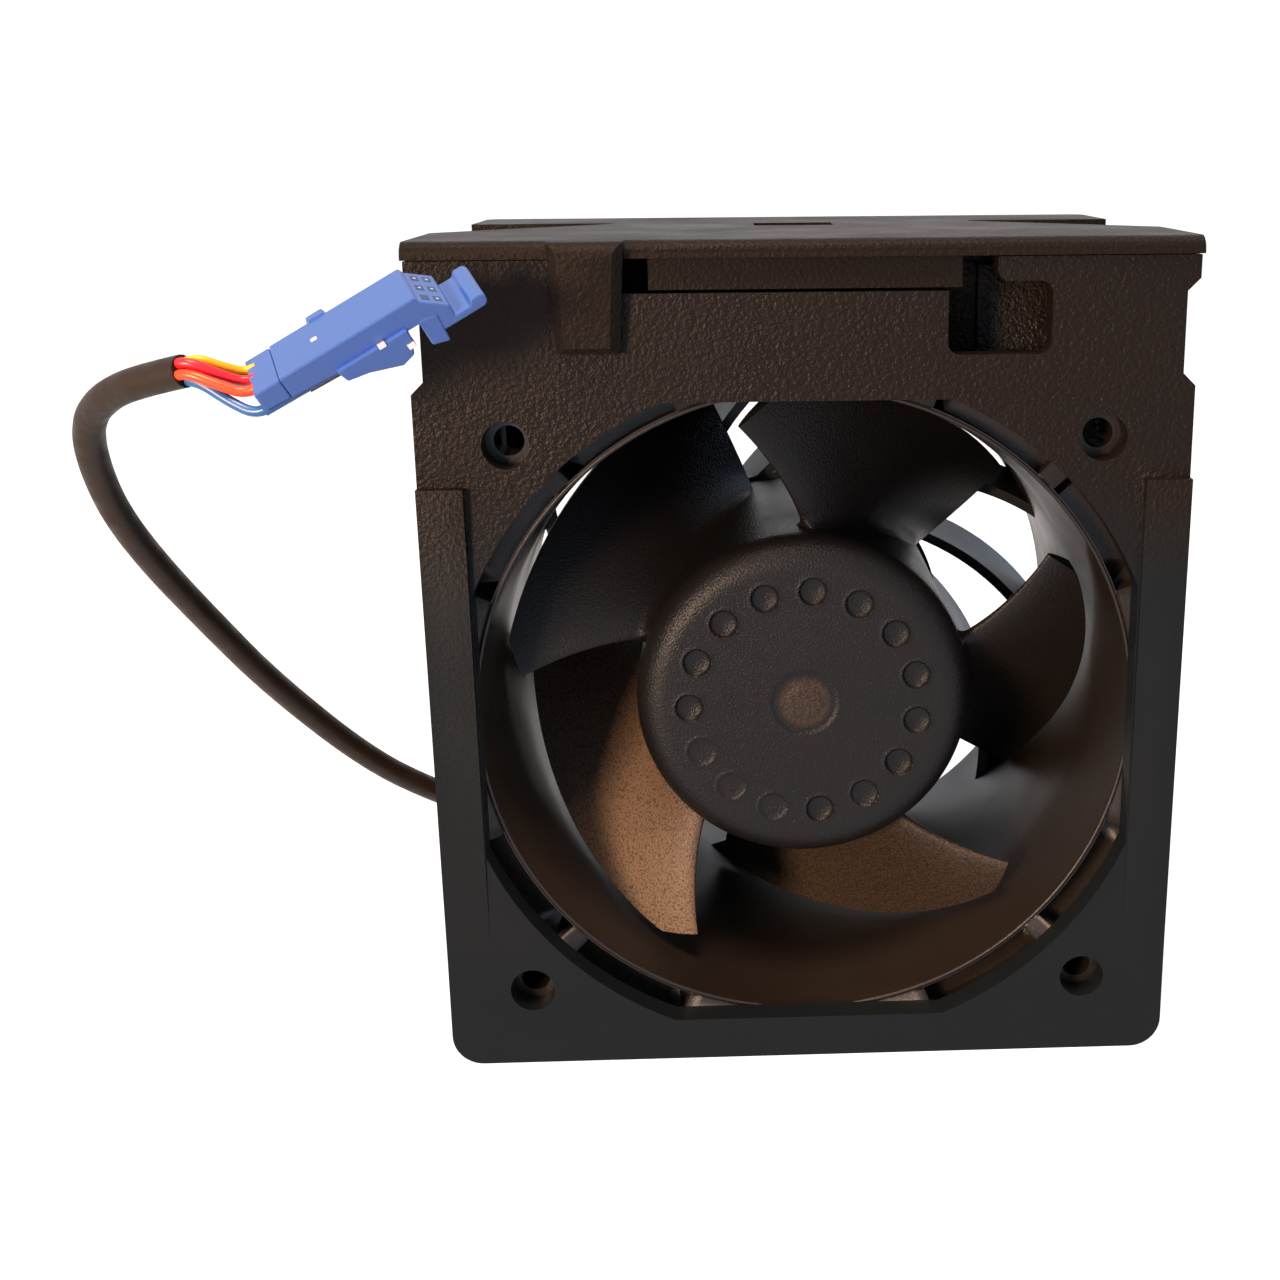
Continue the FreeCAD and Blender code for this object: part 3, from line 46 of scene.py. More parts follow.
def linear(colour):
    """sRGB hex colour to linear RGBA."""
    channels = [int(colour[i:i + 2], 16) / 255 for i in (1, 3, 5)]
    return [c / 12.92 if c <= 0.04045 else ((c + 0.055) / 1.055) ** 2.4 for c in channels] + [1.0]


def add_node(tree, kind, settings=None, **inputs):
    """One shader node with its settings and its inputs: a plain value, or (node, output) for a link."""
    node = tree.nodes.new("ShaderNode" + kind)
    for name, value in (settings or {}).items():
        setattr(node, name, value)
    for name, value in inputs.items():
        key = int(name[1:]) if name[0] == "i" and name[1:].isdigit() else name.replace("_", " ")
        if isinstance(value, tuple) and isinstance(value[0], bpy.types.Node):
            tree.links.new(value[0].outputs[value[1]], node.inputs[key])
        else:
            node.inputs[key].default_value = value
    return node


def new_material(name):
    """Empty material with an output node, and its tree."""
    material = bpy.data.materials.new(name)
    material.use_nodes = True
    material.node_tree.nodes.clear()
    return material, material.node_tree


def new_piece(name, points, faces, material, body):
    """Mesh object in the module's own frame, riding on a body."""
    mesh = bpy.data.meshes.new(name)
    mesh.from_pydata(np.asarray(points, float).reshape(-1, 3).tolist(), [], faces)
    mesh.validate()
    mesh.materials.append(material)
    piece = bpy.data.objects.new(name, mesh)
    bpy.context.scene.collection.objects.link(piece)
    if body:
        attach(piece, body)
    return piece


scene = bpy.context.scene
scene.view_settings.view_transform = "Standard"


def seen_directly(tree):
    """1 for rays from the camera, from glossy surfaces and through clear ones, and 0 for the rest."""
    path = add_node(tree, "LightPath")
    direct = add_node(tree, "Math", {"operation": "MAXIMUM"}, i0=(path, "Is Camera Ray"),
                      i1=(path, "Is Glossy Ray"))
    return add_node(tree, "Math", {"operation": "MAXIMUM"}, i0=(direct, 0), i1=(path, "Is Transmission Ray"))


def white_paint(name, glow, colour):
    """Matt paint that looks brighter by a glow than it lights the things around it."""
    material, tree = new_material(name)
    shine = add_node(tree, "Emission", Color=linear("#ffffff"), Strength=glow)
    paint = add_node(tree, "BsdfDiffuse", Color=linear(colour))
    both = add_node(tree, "AddShader", i0=(shine, 0), i1=(paint, 0))
    mixed = add_node(tree, "MixShader", Fac=(seen_directly(tree), 0), i1=(paint, 0), i2=(both, 0))
    add_node(tree, "OutputMaterial", Surface=(mixed, 0))
    return material


table_paint = white_paint("white table paint", 0.97, "#8d9399")
wall_paint = white_paint("white wall paint", 1.0, "#8d9399")
TABLE_BACK = 1.2
table_corners = [(-2, -2, 0), (2, -2, 0), (2, TABLE_BACK, 0), (-2, TABLE_BACK, 0)]
wall_corners = [(-3, TABLE_BACK, -1), (3, TABLE_BACK, -1), (3, TABLE_BACK, 3), (-3, TABLE_BACK, 3)]
table = new_piece("table", table_corners, [(0, 1, 2, 3)], table_paint, None)
wall = new_piece("backdrop", wall_corners, [(0, 1, 2, 3)], wall_paint, None)

world = bpy.data.worlds.new("pale sky")
scene.world = world
world.use_nodes = True
world.node_tree.nodes.clear()
sky = add_node(world.node_tree, "Background", Color=linear("#d9e6f8"), Strength=0.35)
bright = add_node(world.node_tree, "Background", Color=linear("#ffffff"), Strength=1.0)
mixed = add_node(world.node_tree, "MixShader", Fac=(seen_directly(world.node_tree), 0), i1=(sky, 0),
                 i2=(bright, 0))
add_node(world.node_tree, "OutputWorld", Surface=(mixed, 0))


def add_lamp(name, place, aim, size, watts, colour):
    """Square soft lamp at a place in metres, pointed at another."""
    lamp = bpy.data.lights.new(name, "AREA")
    lamp.shape = "SQUARE"
    lamp.size = size
    lamp.energy = watts
    lamp.color = linear(colour)[:3]
    holder = bpy.data.objects.new(name, lamp)
    holder.matrix_world = (Matrix.Translation(place)
                           @ (Vector(aim) - Vector(place)).to_track_quat("-Z", "Y").to_matrix().to_4x4())
    scene.collection.objects.link(holder)


add_lamp("warm lamp", (-0.31, -0.47, 0.11), (0, -0.02, 0.03), 0.12, 6.0, "#ffc594")
add_lamp("upper lamp", (-0.06, -0.2, 0.6), (0, 0, 0.05), 0.2, 6.0, "#ffc898")
add_lamp("cool window", (0.5, 0.3, 0.25), (0, 0, 0.04), 0.4, 1.0, "#b8d4ff")

# The camera stands 152 mm in front and 81 mm up, and looks down by a quarter radian.
PITCH, YAW, ROLL = 0.25, -0.038, -0.007
CAMERA_PLACE = (-6.6, -151.9, 81.3)
about_x = np.array([[1, 0, 0], [0, math.cos(PITCH), -math.sin(PITCH)], [0, math.sin(PITCH), math.cos(PITCH)]])
about_y = np.array([[math.cos(YAW), 0, math.sin(YAW)], [0, 1, 0], [-math.sin(YAW), 0, math.cos(YAW)]])
about_z = np.array([[math.cos(ROLL), -math.sin(ROLL), 0], [math.sin(ROLL), math.cos(ROLL), 0], [0, 0, 1]])
turn = about_z @ about_x @ about_y
rows = [Vector((row[0], row[2], -row[1])) for row in turn]
lens = bpy.data.cameras.new("camera")
lens.sensor_width = 36.0
lens.lens = 45.1
lens.shift_x = -0.116
lens.shift_y = -0.067
lens.clip_start = 0.01
camera = bpy.data.objects.new("camera", lens)
axes = Matrix((rows[0], -rows[1], -rows[2])).transposed().to_4x4()
camera.matrix_world = Matrix.Translation(Vector(CAMERA_PLACE) * MM) @ axes
scene.collection.objects.link(camera)
scene.camera = camera

# ---- Sleeved lead ------------------------------------------------------------------------------
# Five thin wires in a soft black shrink sleeve. It leaves the carrier's left wall near the rear,
# stands free in one stiff bow and ends short of the plug, where the bare wires come out.
SLEEVE_ROUTE = [
    (-32.26, 18.1, 9.1), (-34.9, 18.1, 9.1), (-39.0, 15.4, 11.8), (-45.2, 9.6, 18.2), (-51.8, 0.4, 29.9),
    (-55.0, -6.3, 38.3), (-57.4, -13.0, 46.1), (-58.4, -18.0, 52.0), (-57.9, -22.6, 57.5),
    (-56.6, -25.5, 61.0), (-53.8, -28.3, 63.2), (-50.2, -31.1, 64.6), (-46.4, -32.8, 65.5)]
SLEEVE_DIAMETER = 2.5


def add_cord(name, route, diameter, material, node):
    """Round cord: a smooth curve with the route's points as its control points."""
    curve = bpy.data.curves.new(name, "CURVE")
    curve.dimensions = "3D"
    curve.bevel_depth = diameter / 2 * MM
    curve.bevel_resolution = 6
    curve.resolution_u = 12
    curve.use_fill_caps = True
    spline = curve.splines.new("NURBS")
    spline.points.add(len(route) - 1)
    for point, place in zip(spline.points, route):
        point.co = (*(Vector(place) * MM), 1.0)
    spline.order_u = 3
    spline.use_endpoint_u = True
    curve.materials.append(material)
    cord = bpy.data.objects.new(name, curve)
    scene.collection.objects.link(cord)
    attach(cord, "module")
    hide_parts(node)
    return cord


CREASE = 1.6
CREASE_DEPTH = 0.12
sleeving, tree = new_material("soft PVC sleeving, faint creases")
place = add_node(tree, "TexCoord")
creases = add_node(tree, "TexNoise", Vector=(place, "Object"), Scale=1 / (CREASE * MM), Detail=3.0)
bump = add_node(tree, "Bump", Strength=0.5, Distance=CREASE_DEPTH * MM, Height=(creases, "Fac"))
gloss = add_node(tree, "MapRange", Value=(creases, "Fac"), From_Min=0.35, From_Max=0.7, To_Min=0.42,
                 To_Max=0.62)
plastic = add_node(tree, "BsdfPrincipled", Base_Color=linear("#211c1a"), IOR=1.5, Specular_IOR_Level=0.22,
                   Roughness=(gloss, 0), Normal=(bump, 0))
add_node(tree, "OutputMaterial", Surface=(plastic, 0))
sleeve = add_cord("lead_sleeve", SLEEVE_ROUTE, SLEEVE_DIAMETER, sleeving, "cable_sleeve")

# ---- Bare wires --------------------------------------------------------------------------------
# Five stranded wires with smooth, bright PVC insulation, fanned out to the back of the plug.
WIRE_DIAMETER = 0.8
WIRES = {
    "wire_yellow": [
        (-46.28, -32.38, 66.10), (-45.46, -32.65, 66.41), (-43.93, -31.84, 65.64), (-42.44, -30.74, 65.00),
        (-41.65, -30.74, 65.44)],
    "wire_red": [
        (-46.63, -33.17, 66.10), (-45.84, -33.55, 66.30), (-43.96, -33.00, 65.30), (-42.13, -32.21, 64.45),
        (-41.34, -32.21, 64.89)],
    "wire_orange": [
        (-46.58, -33.49, 65.29), (-45.82, -33.93, 65.49), (-43.76, -34.02, 64.66), (-41.80, -33.77, 63.86),
        (-41.02, -33.77, 64.30)],
    "wire_blue": [
        (-46.19, -32.89, 64.79), (-45.34, -33.20, 64.83), (-43.03, -33.73, 63.33), (-41.01, -34.27, 62.44),
        (-40.23, -34.27, 62.87)],
    "wire_black": [
        (-46.01, -32.21, 65.29), (-45.17, -32.56, 65.37), (-42.82, -31.64, 64.21), (-40.27, -30.44, 63.09),
        (-38.65, -30.48, 64.09), (-34.83, -30.52, 66.34)]
}
WIRE_COLOURS = {"yellow": "#ffbf00", "red": "#e5203c", "orange": "#ef4a2c", "blue": "#1c62b8",
                "black": "#1b1a1a"}
wires = []
for node_name, route in WIRES.items():
    colour = node_name.split("_")[1]
    insulation, tree = new_material(colour + " wire insulation")
    plastic = add_node(tree, "BsdfPrincipled", Base_Color=linear(WIRE_COLOURS[colour]), IOR=1.5,
                       Roughness=0.32)
    add_node(tree, "OutputMaterial", Surface=(plastic, 0))
    wires.append(add_cord(colour + "_wire", route, WIRE_DIAMETER, insulation, node_name))

# ---- Carrier -----------------------------------------------------------------------------------
# Moulded in black PC/ABS: a front plate with its clipped opening, and the box behind it. The upper
# part has a coarse spark-eroded grain, which fades out to a nearly smooth lower part. Its colour is painted
# too: a cool bluish shade below and a warm brown lamp light on the upper part. Edges are broken by about
# two tenths of a millimetre.
GRAIN_FADE = (44, 53)
GRAIN_WANDER = 3
CLOUD = 9


def moulded_copy(node_name, name, material, body, edge, angle=35.0, join_flats=True):
    """Copy of a CAD node in the node's place, its doubles merged, its flats joined, its edges rounded."""
    mesh = nodes[node_name].data.copy()
    mesh.name = name
    shell = bmesh.new()
    shell.from_mesh(mesh)
    bmesh.ops.remove_doubles(shell, verts=shell.verts, dist=0.002 * MM)
    if join_flats:
        bmesh.ops.dissolve_limit(shell, angle_limit=math.radians(0.5), verts=shell.verts, edges=shell.edges)
    shell.to_mesh(mesh)
    shell.free()
    mesh.materials.clear()
    mesh.materials.append(material)
    mesh.shade_smooth()
    mesh.set_sharp_from_angle(angle=math.radians(angle))
    piece = bpy.data.objects.new(name, mesh)
    scene.collection.objects.link(piece)
    if edge:
        bevel = piece.modifiers.new("broken edges", "BEVEL")
        bevel.width = edge * MM
        bevel.segments = 2
        bevel.limit_method = "ANGLE"
        bevel.angle_limit = math.radians(angle)
        bevel.harden_normals = True
        bevel.use_clamp_overlap = True
    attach(piece, body)
    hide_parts(node_name)


def grained_plastic(name, colour, grain_mm, depth_mm, gloss, shine, upper=None, dust=None):
    """Moulded black plastic: a grain of given size and depth, and roughness that wanders a little. Its
    reflections are tinted pale blue, a painted cool cast. With an upper colour the grain is full only above
    the fade, and the base colour turns there to that painted warm light; with a sheen colour a per-point
    attribute spreads a grain-speckled painted highlight over the piece."""
    material, tree = new_material(name)
    place = add_node(tree, "TexCoord")
    grain = add_node(tree, "TexNoise", Vector=(place, "Object"), Scale=1 / (grain_mm * MM), Detail=2.0)
    cloud = add_node(tree, "TexNoise", Vector=(place, "Object"), Scale=1 / (CLOUD * MM), Detail=4.0)
    rough = add_node(tree, "MapRange", Value=(cloud, "Fac"), From_Min=0.3, From_Max=0.7, To_Min=gloss - 0.07,
                     To_Max=gloss + 0.07)
    bump = add_node(tree, "Bump", Strength=1.0, Distance=depth_mm * MM, Height=(grain, "Fac"))
    # The pale blue specular tint paints a cool cast into every reflection of these plastics.
    plastic = add_node(tree, "BsdfPrincipled", Base_Color=linear(colour), IOR=1.54, Specular_IOR_Level=shine,
                       Specular_Tint=linear("#d0e2fb"), Roughness=(rough, 0), Normal=(bump, 0))
    add_node(tree, "OutputMaterial", Surface=(plastic, 0))
    if upper:
        height = add_node(tree, "SeparateXYZ", Vector=(place, "Object"))
        wander = add_node(tree, "MapRange", Value=(cloud, "Fac"), To_Min=-GRAIN_WANDER * MM,
                          To_Max=GRAIN_WANDER * MM)
        edge = add_node(tree, "Math", {"operation": "ADD"}, i0=(height, "Z"), i1=(wander, 0))
        coarse = add_node(tree, "MapRange", Value=(edge, 0), From_Min=GRAIN_FADE[0] * MM,
                          From_Max=GRAIN_FADE[1] * MM)
        depth = add_node(tree, "MapRange", Value=(coarse, 0), To_Min=0.15, To_Max=1.0)
        tree.links.new(depth.outputs[0], bump.inputs["Strength"])
        # Painted light: the base turns from the cool bluish shade below to the warm lamp-lit brown above the
        # fade.
        tint = add_node(tree, "Mix", {"data_type": "RGBA"}, Factor=(coarse, 0), i6=linear(colour),
                        i7=linear(upper))
        tree.links.new(tint.outputs[2], plastic.inputs["Base Color"])
    if dust:
        # Painted highlight: a sandy warm colour, speckled by the grain, mixed in by a per-point share.
        sheen_share = add_node(tree, "Attribute", {"attribute_name": "dust"})
        speckle = add_node(tree, "MapRange", Value=(grain, "Fac"), From_Min=0.35, From_Max=0.65, To_Min=0.35,
                         To_Max=1.45)
        share = add_node(tree, "Math", {"operation": "MULTIPLY"}, i0=(sheen_share, "Fac"), i1=(speckle, 0))
        tint = add_node(tree, "Mix", {"data_type": "RGBA"}, Factor=(share, 0), i6=linear(colour),
                        i7=linear(dust))
        tree.links.new(tint.outputs[2], plastic.inputs["Base Color"])
    return material


# Its bluish base is painted cool shade, and its brown upper colour is painted warm lamp light.
carrier_plastic = grained_plastic("black PC/ABS, spark-eroded grain", "#11171d", 0.34, 0.15, 0.4, 0.12,
                                  "#13100e")
moulded_copy("carrier_housing", "carrier_moulding", carrier_plastic, "module", 0.18)

# ---- Cover -------------------------------------------------------------------------------------
# Clip-fit cover of the same moulding: finger scoops at the rear corners, a slot, and a snap tab that
# hooks over the front plate.
# Its warm brown-black base is painted warm lamp light, like the carrier's upper colour.
cover_plastic = grained_plastic("black PC/ABS, cover", "#15120f", 0.34, 0.12, 0.46, 0.09)
moulded_copy("top_cover", "cover_moulding", cover_plastic, "module", 0.22, 20.0)

# ---- Fan frame ---------------------------------------------------------------------------------
# Glass-filled black PBT, smoother than the carrier: two flanges with the duct between them, and behind
# the hub the motor base on its swept outlet vanes. The duct's bell mouth ends in a thin round lip.
AXIS = np.array([0.0, -20.2, 32.3])
LIP_RADIUS = 28.9
LIP_WALL = 0.42
LIP_FRONT = 2.62
LIP_ROUND = 0.2
THROAT_RADIUS = 28.0
BELL_REAR = 14.0
DUCT_REAR = 40.5
SKIN = 0.04


def about_axis(radius, degrees, depth):
    """Points about the fan axis, in metres: angles run anticlockwise from +X, seen from the intake."""
    angle = np.radians(degrees)
    flat = np.broadcast_arrays(radius * np.cos(angle), depth, radius * np.sin(angle))
    return (np.stack(flat, axis=-1) + AXIS) * MM


def grid_faces(rows, columns, closed=True, start=0):
    """Quads of a grid of points in rows; closed grids join the last column to the first."""
    span = columns if closed else columns - 1
    row, column = np.meshgrid(np.arange(rows - 1), np.arange(span), indexing="ij")
    after = (column + 1) % columns
    quads = np.stack([row * columns + column, row * columns + after, (row + 1) * columns + after,
                      (row + 1) * columns + column], axis=-1)
    return (quads.reshape(-1, 4) + start).tolist()


frame_plastic = grained_plastic("black glass-filled PBT", "#191614", 0.2, 0.02, 0.38, 0.36)
# The vanes and motor base get a cooler copy of the PBT: painted cool light from the outlet behind.
vane_plastic = grained_plastic("black glass-filled PBT, vanes", "#171c20", 0.2, 0.02, 0.45, 0.3)
moulded_copy("fan_frame", "fan_shroud", frame_plastic, "module", 0, 25.0, False)
moulded_copy("motor_base", "base_moulding", vane_plastic, "module", 0, 25.0, False)
moulded_copy("outlet_vanes", "vane_moulding", vane_plastic, "module", 0, 25.0, False)

# The lining's profile runs from the duct's rear to the bell, over the round lip and back to the start.
share = np.linspace(1, 0, 24)[:-1]
bell_depths = LIP_FRONT + LIP_ROUND + (BELL_REAR - LIP_FRONT - LIP_ROUND) * share
bell_radii = THROAT_RADIUS + (LIP_RADIUS - THROAT_RADIUS) * (1 - share) ** 1.25
bend = np.radians(np.linspace(180, 0, 9))
lip_radii = LIP_RADIUS + LIP_WALL / 2 - LIP_WALL / 2 * np.cos(bend[::-1])
lip_depths = LIP_FRONT + LIP_ROUND - LIP_ROUND * np.sin(bend)
profile_radii = np.concatenate([[THROAT_RADIUS] * 8, bell_radii, lip_radii, [LIP_RADIUS + LIP_WALL]]) - SKIN
profile_radii = np.append(profile_radii, THROAT_RADIUS)
profile_depths = np.concatenate([np.linspace(DUCT_REAR, BELL_REAR + 2, 8), bell_depths, lip_depths,
                                 [LIP_FRONT + 0.5, DUCT_REAR]])
turns = np.arange(360)
lining_points = about_axis(profile_radii[:, None], turns[None, :], profile_depths[:, None])
lining = new_piece("duct_lining", lining_points, grid_faces(len(profile_radii), len(turns)), frame_plastic,
                   "module")
lining.data.shade_smooth()
lining.data.set_sharp_from_angle(angle=math.radians(35))

# ---- Impeller ----------------------------------------------------------------------------------
# One moulding in glass-filled PBT: a cup-shaped hub with a ring of round dimples and the gate mark
# in the middle, and swept blades with thick, round leading edges. A sandy warm painted highlight lies on
# two blades and faintly on the gate mark, standing in for the warm lamp's light on them.
HUB_RADIUS = 15.3
HUB_FRONT = 5.6
HUB_REAR = 33.0
HUB_EDGE = 2.7
HUB_WALL = 1.6
HUB_CAP = 1.8
DIMPLES = 15
DIMPLE_CIRCLE = 10.45
DIMPLE_RADIUS = 1.25
DIMPLE_DEPTH = 0.55
DIMPLE_START = 85.6
DIMPLE_SHARE = {5: 0.25, 6: 0.2, 7: 0.3, 9: 0.7}
GATE_RADIUS = 2.95
GATE_DEPTH = 0.14
STUB_RADIUS = 1.2
STUB_HEIGHT = 0.1
BLADES = 5
TIP_RADIUS = 27.3
BLADE_FRONT, BLADE_REAR = 6.8, 30.2
ROOT_SETBACK = 3.4
LEAD_ANGLES = (17.0, 32.8)
WRAPS = (54.0, 67.0)
THICKNESS = (2.9, 2.3)
TIP_BEVEL = 1.4
ROOT_FILLET = 1.1
# Share of the painted warm highlight on each blade, and on the gate mark within its radius.
BLADE_PAINTED_SHEEN = (0.04, 0.0, 0.02, 1.0, 0.25)
GATE_PAINTED_SHEEN = 0.2
GATE_SHEEN_RADIUS = 2.6


def smooth_step(value):
    """0 below 0, 1 above 1, and an S-curve between."""
    value = np.clip(value, 0, 1)
    return value * value * (3 - 2 * value)


around = np.arange(600) * 0.6
face_radii = np.concatenate([[0.02], np.linspace(0.3, 3.2, 20), np.linspace(3.6, 8.7, 10),
                             np.linspace(8.85, 12.05, 34), [12.3, HUB_RADIUS - HUB_EDGE]])
corner = np.radians(np.linspace(9, 90, 10))
edge_radii = HUB_RADIUS - HUB_EDGE + HUB_EDGE * np.sin(corner)
edge_depths = HUB_FRONT + HUB_EDGE - HUB_EDGE * np.cos(corner)
side = np.linspace(HUB_FRONT + HUB_EDGE + 1, HUB_REAR, 12)
radii = np.concatenate([face_radii, edge_radii, np.full(12, HUB_RADIUS), [HUB_RADIUS - HUB_WALL] * 2,
                        [4.2, 0.02]])
depths = np.concatenate([np.full(len(face_radii), HUB_FRONT), edge_depths, side,
                         [HUB_REAR] + [HUB_FRONT + HUB_CAP] * 3])


def hub_relief(radius, degrees):
    """How far the hub's face lies below its plane: round-bottomed dimples on a circle, each with a
    thin raised rim, and a shallow round gate recess with a rough stub in its middle."""
    step = 360 / DIMPLES
    turned = degrees - DIMPLE_START
    which = np.mod(np.round(turned / step), DIMPLES).astype(int)
    off = np.radians(turned - np.round(turned / step) * step)
    away = np.sqrt(radius ** 2 + DIMPLE_CIRCLE ** 2 - 2 * radius * DIMPLE_CIRCLE * np.cos(off))
    share = np.ones(DIMPLES)
    share[list(DIMPLE_SHARE)] = list(DIMPLE_SHARE.values())
    bowl = np.sqrt(np.clip(1 - (away / DIMPLE_RADIUS) ** 2, 0, 1)) ** 0.7
    rim = np.exp(-((away - DIMPLE_RADIUS - 0.12) / 0.14) ** 2)
    relief = DIMPLE_DEPTH * share[which] * bowl - 0.05 * rim
    recess = 1 - smooth_step((radius - GATE_RADIUS + 0.1) / 0.2)
    stub = 1 - smooth_step((radius - STUB_RADIUS) / 0.7)
    x, z = radius * np.cos(np.radians(degrees)), radius * np.sin(np.radians(degrees))
    rough = sum(np.sin(pitch * (x * math.cos(2.4 * pitch) + z * math.sin(2.4 * pitch)) + 1.7 * pitch)
                for pitch in np.arange(4.0, 19.0, 1.3)) / 3
    return relief + GATE_DEPTH * recess - (STUB_HEIGHT + 0.012 * rough) * stub


hub_grid = about_axis(radii[:, None], around[None, :], depths[:, None])
relief = hub_relief(face_radii[:, None], around[None, :])
hub_grid[:len(face_radii), :, 1] += relief * MM
hub_faces = grid_faces(len(radii), len(around))
hub_faces.append(list(range(len(around)))[::-1])
hub_faces.append(list(range(len(around) * (len(radii) - 1), len(around) * len(radii))))
# The sandy brown second colour is the painted warm highlight.
impeller_plastic = grained_plastic("black glass-filled PBT, satin", "#111215", 0.2, 0.075, 0.38, 0.2,
                                   dust="#5c5148")


def blade_grid(first_angle):
    """Blade as rows of closed sections from root to tip. Each section follows a camber line that turns
    with the angle and deepens with it; its half thickness is a rounded wedge, flared at the root."""
    chord = np.linspace(0, 1, 40) ** 1.7
    loop = np.concatenate([chord[::-1], chord[1:]])
    sign = np.concatenate([np.ones(40), -np.ones(39)])
    height = np.linspace(0, 1, 34) ** 1.4
    share, t = height[:, None], loop[None, :]

    def camber(share, t):
        lead = LEAD_ANGLES[0] + share * (LEAD_ANGLES[1] - LEAD_ANGLES[0])
        wrap = WRAPS[0] + share * (WRAPS[1] - WRAPS[0])
        nose = BLADE_FRONT + (1 - share) * ROOT_SETBACK
        depth = nose + (BLADE_REAR - nose) * (0.72 * t + 0.28 * t * t)
        return lead - wrap * t, depth

    edge = BLADE_FRONT + 1.5 * TIP_BEVEL
    reach = TIP_RADIUS - np.maximum((edge - camber(1.0, t)[1]) / 1.3, 0)
    root = HUB_RADIUS - 0.5
    radius = root + share * (reach - root)
    true_share = (radius - HUB_RADIUS) / (TIP_RADIUS - HUB_RADIUS)
    degrees, depth = camber(true_share, t)
    after, later = camber(true_share, np.minimum(t + 0.01, 1.01))
    run = radius * np.radians(after - degrees)
    fall = later - depth
    size = np.hypot(run, fall)
    thickness = THICKNESS[0] + true_share * (THICKNESS[1] - THICKNESS[0])
    half = thickness * (1.32 * np.sqrt(t) - 0.62 * t - 1.1 * t * t + 0.55 * t ** 3)
    near_hub = np.clip(ROOT_FILLET - (radius - HUB_RADIUS), 0, ROOT_FILLET)
    flare = ROOT_FILLET - np.sqrt(ROOT_FILLET ** 2 - near_hub ** 2)
    half = np.maximum(half, 0.05) + flare * smooth_step((1.02 - t) * 8)
    degrees = degrees + np.degrees(sign * half * (-fall / size) / radius)
    depth = depth + sign * half * run / size
    return about_axis(radius, degrees + first_angle, depth)


def blade_faces(rows, columns, start):
    """Skin of a blade, its trailing strip, and the flat tip between its two sides."""
    faces = grid_faces(rows, columns, True, start)
    half = columns // 2
    tip = (rows - 1) * columns + start
    index = np.arange(half)
    other = tip + columns - 1 - index
    cap = np.stack([tip + index, tip + index + 1, other - 1, other], axis=-1)
    return faces + cap[:-1].tolist() + [[tip + half - 1, tip + half, tip + half + 1]]


points, faces = [hub_grid.reshape(-1, 3)], hub_faces
count = len(points[0])
from_axis = np.hypot(points[0][:, 0], points[0][:, 2] - AXIS[2] * MM) / MM
# Per-point share of the painted highlight: faint round the gate, fading in along each blade.
sheen_share = [GATE_PAINTED_SHEEN * smooth_step(4 * (1 - from_axis / GATE_SHEEN_RADIUS))]
for k in range(BLADES):
    grid = blade_grid(360 / BLADES * k)
    faces += blade_faces(grid.shape[0], grid.shape[1], count)
    points.append(grid.reshape(-1, 3))
    count += len(points[-1])
    sheen_share.append(np.repeat(BLADE_PAINTED_SHEEN[k] * smooth_step(np.linspace(0, 3, grid.shape[0])), grid.shape[1]))
impeller = new_piece("impeller_moulding", np.concatenate(points), faces, impeller_plastic, "rotor")
shell = bmesh.new()
shell.from_mesh(impeller.data)
bmesh.ops.recalc_face_normals(shell, faces=shell.faces)
shell.to_mesh(impeller.data)
shell.free()
impeller.data.shade_smooth()
impeller.data.set_sharp_from_angle(angle=math.radians(42))
impeller.data.attributes.new("dust", "FLOAT", "POINT").data.foreach_set("value", np.concatenate(sheen_share))
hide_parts("impeller")

# ---- Plug --------------------------------------------------------------------------------------
# Injection-moulded blue nylon: a flat wire housing with a stepped rear, a sloped nose with its contact
# windows drawn as tiles of painted shade, a coding key with a rounded lip, a foot and a latch below, and a
# painted glint on the upper face. Its crimp contacts are tin-plated.
# Sizes are in the plug's own frame: X to the mating end, Y to the far side, Z out of the upper face.
PLUG_PLACE = (-41.53, -32.61, 65.09)
PLUG_TURN = (17.4, -29.5, 11.7)
HALF_WIDTH = 3.3
NOSE_TOP = (13.3, -0.5)
NOSE_FOOT = (15.0, -1.9)
HOUSING = [(1.8, -1.75), (6.0, -2.0), (12.6, -2.0), (13.0, -3.4), (17.3, -3.4), (17.6, -3.1), (17.6, -2.7),
           (17.3, -2.4), (16.5, -2.4), (16.2, -2.8), (15.0, -2.8), NOSE_FOOT, NOSE_TOP, (13.1, 0), (1.8, 0)]
REAR_BLOCK = [(-0.35, -1.6), (1.77, -1.7), (1.77, -0.06), (-0.35, -0.06)]
LATCH = [(5.5, -1.6), (5.8, -2.7), (7.4, -3.0), (9.8, -3.9), (10.9, -3.6), (11.4, -2.4), (11.4, -1.6)]
FOOT = [(12.4, -1.7), (12.4, -3.9), (13.7, -4.3), (13.9, -1.9)]
FAR_BUMP = [(4.7, -1.3), (7.0, -1.3), (6.6, 0.15), (5.2, 0.15)]
FAR_RAIL = [(2.2, -1.2), (12.6, -1.2), (12.6, -0.45), (2.2, -0.45)]
NOSE_SLOPE = math.atan2(NOSE_TOP[1] - NOSE_FOOT[1], NOSE_FOOT[0] - NOSE_TOP[0])
WINDOW_STEPS = (0.62, 1.55)
WINDOW_ROWS = (-2.1, 0.0, 2.1)
WINDOW_HALVES = (0.3, 0.5)
TIP_HALVES = (0.12, 0.14)
SIDE_CONTACTS = ((9.3, -1.6, -3.9), (11.1, -2.8, -3.95))
SIDE_HALVES = (0.3, 0.25)
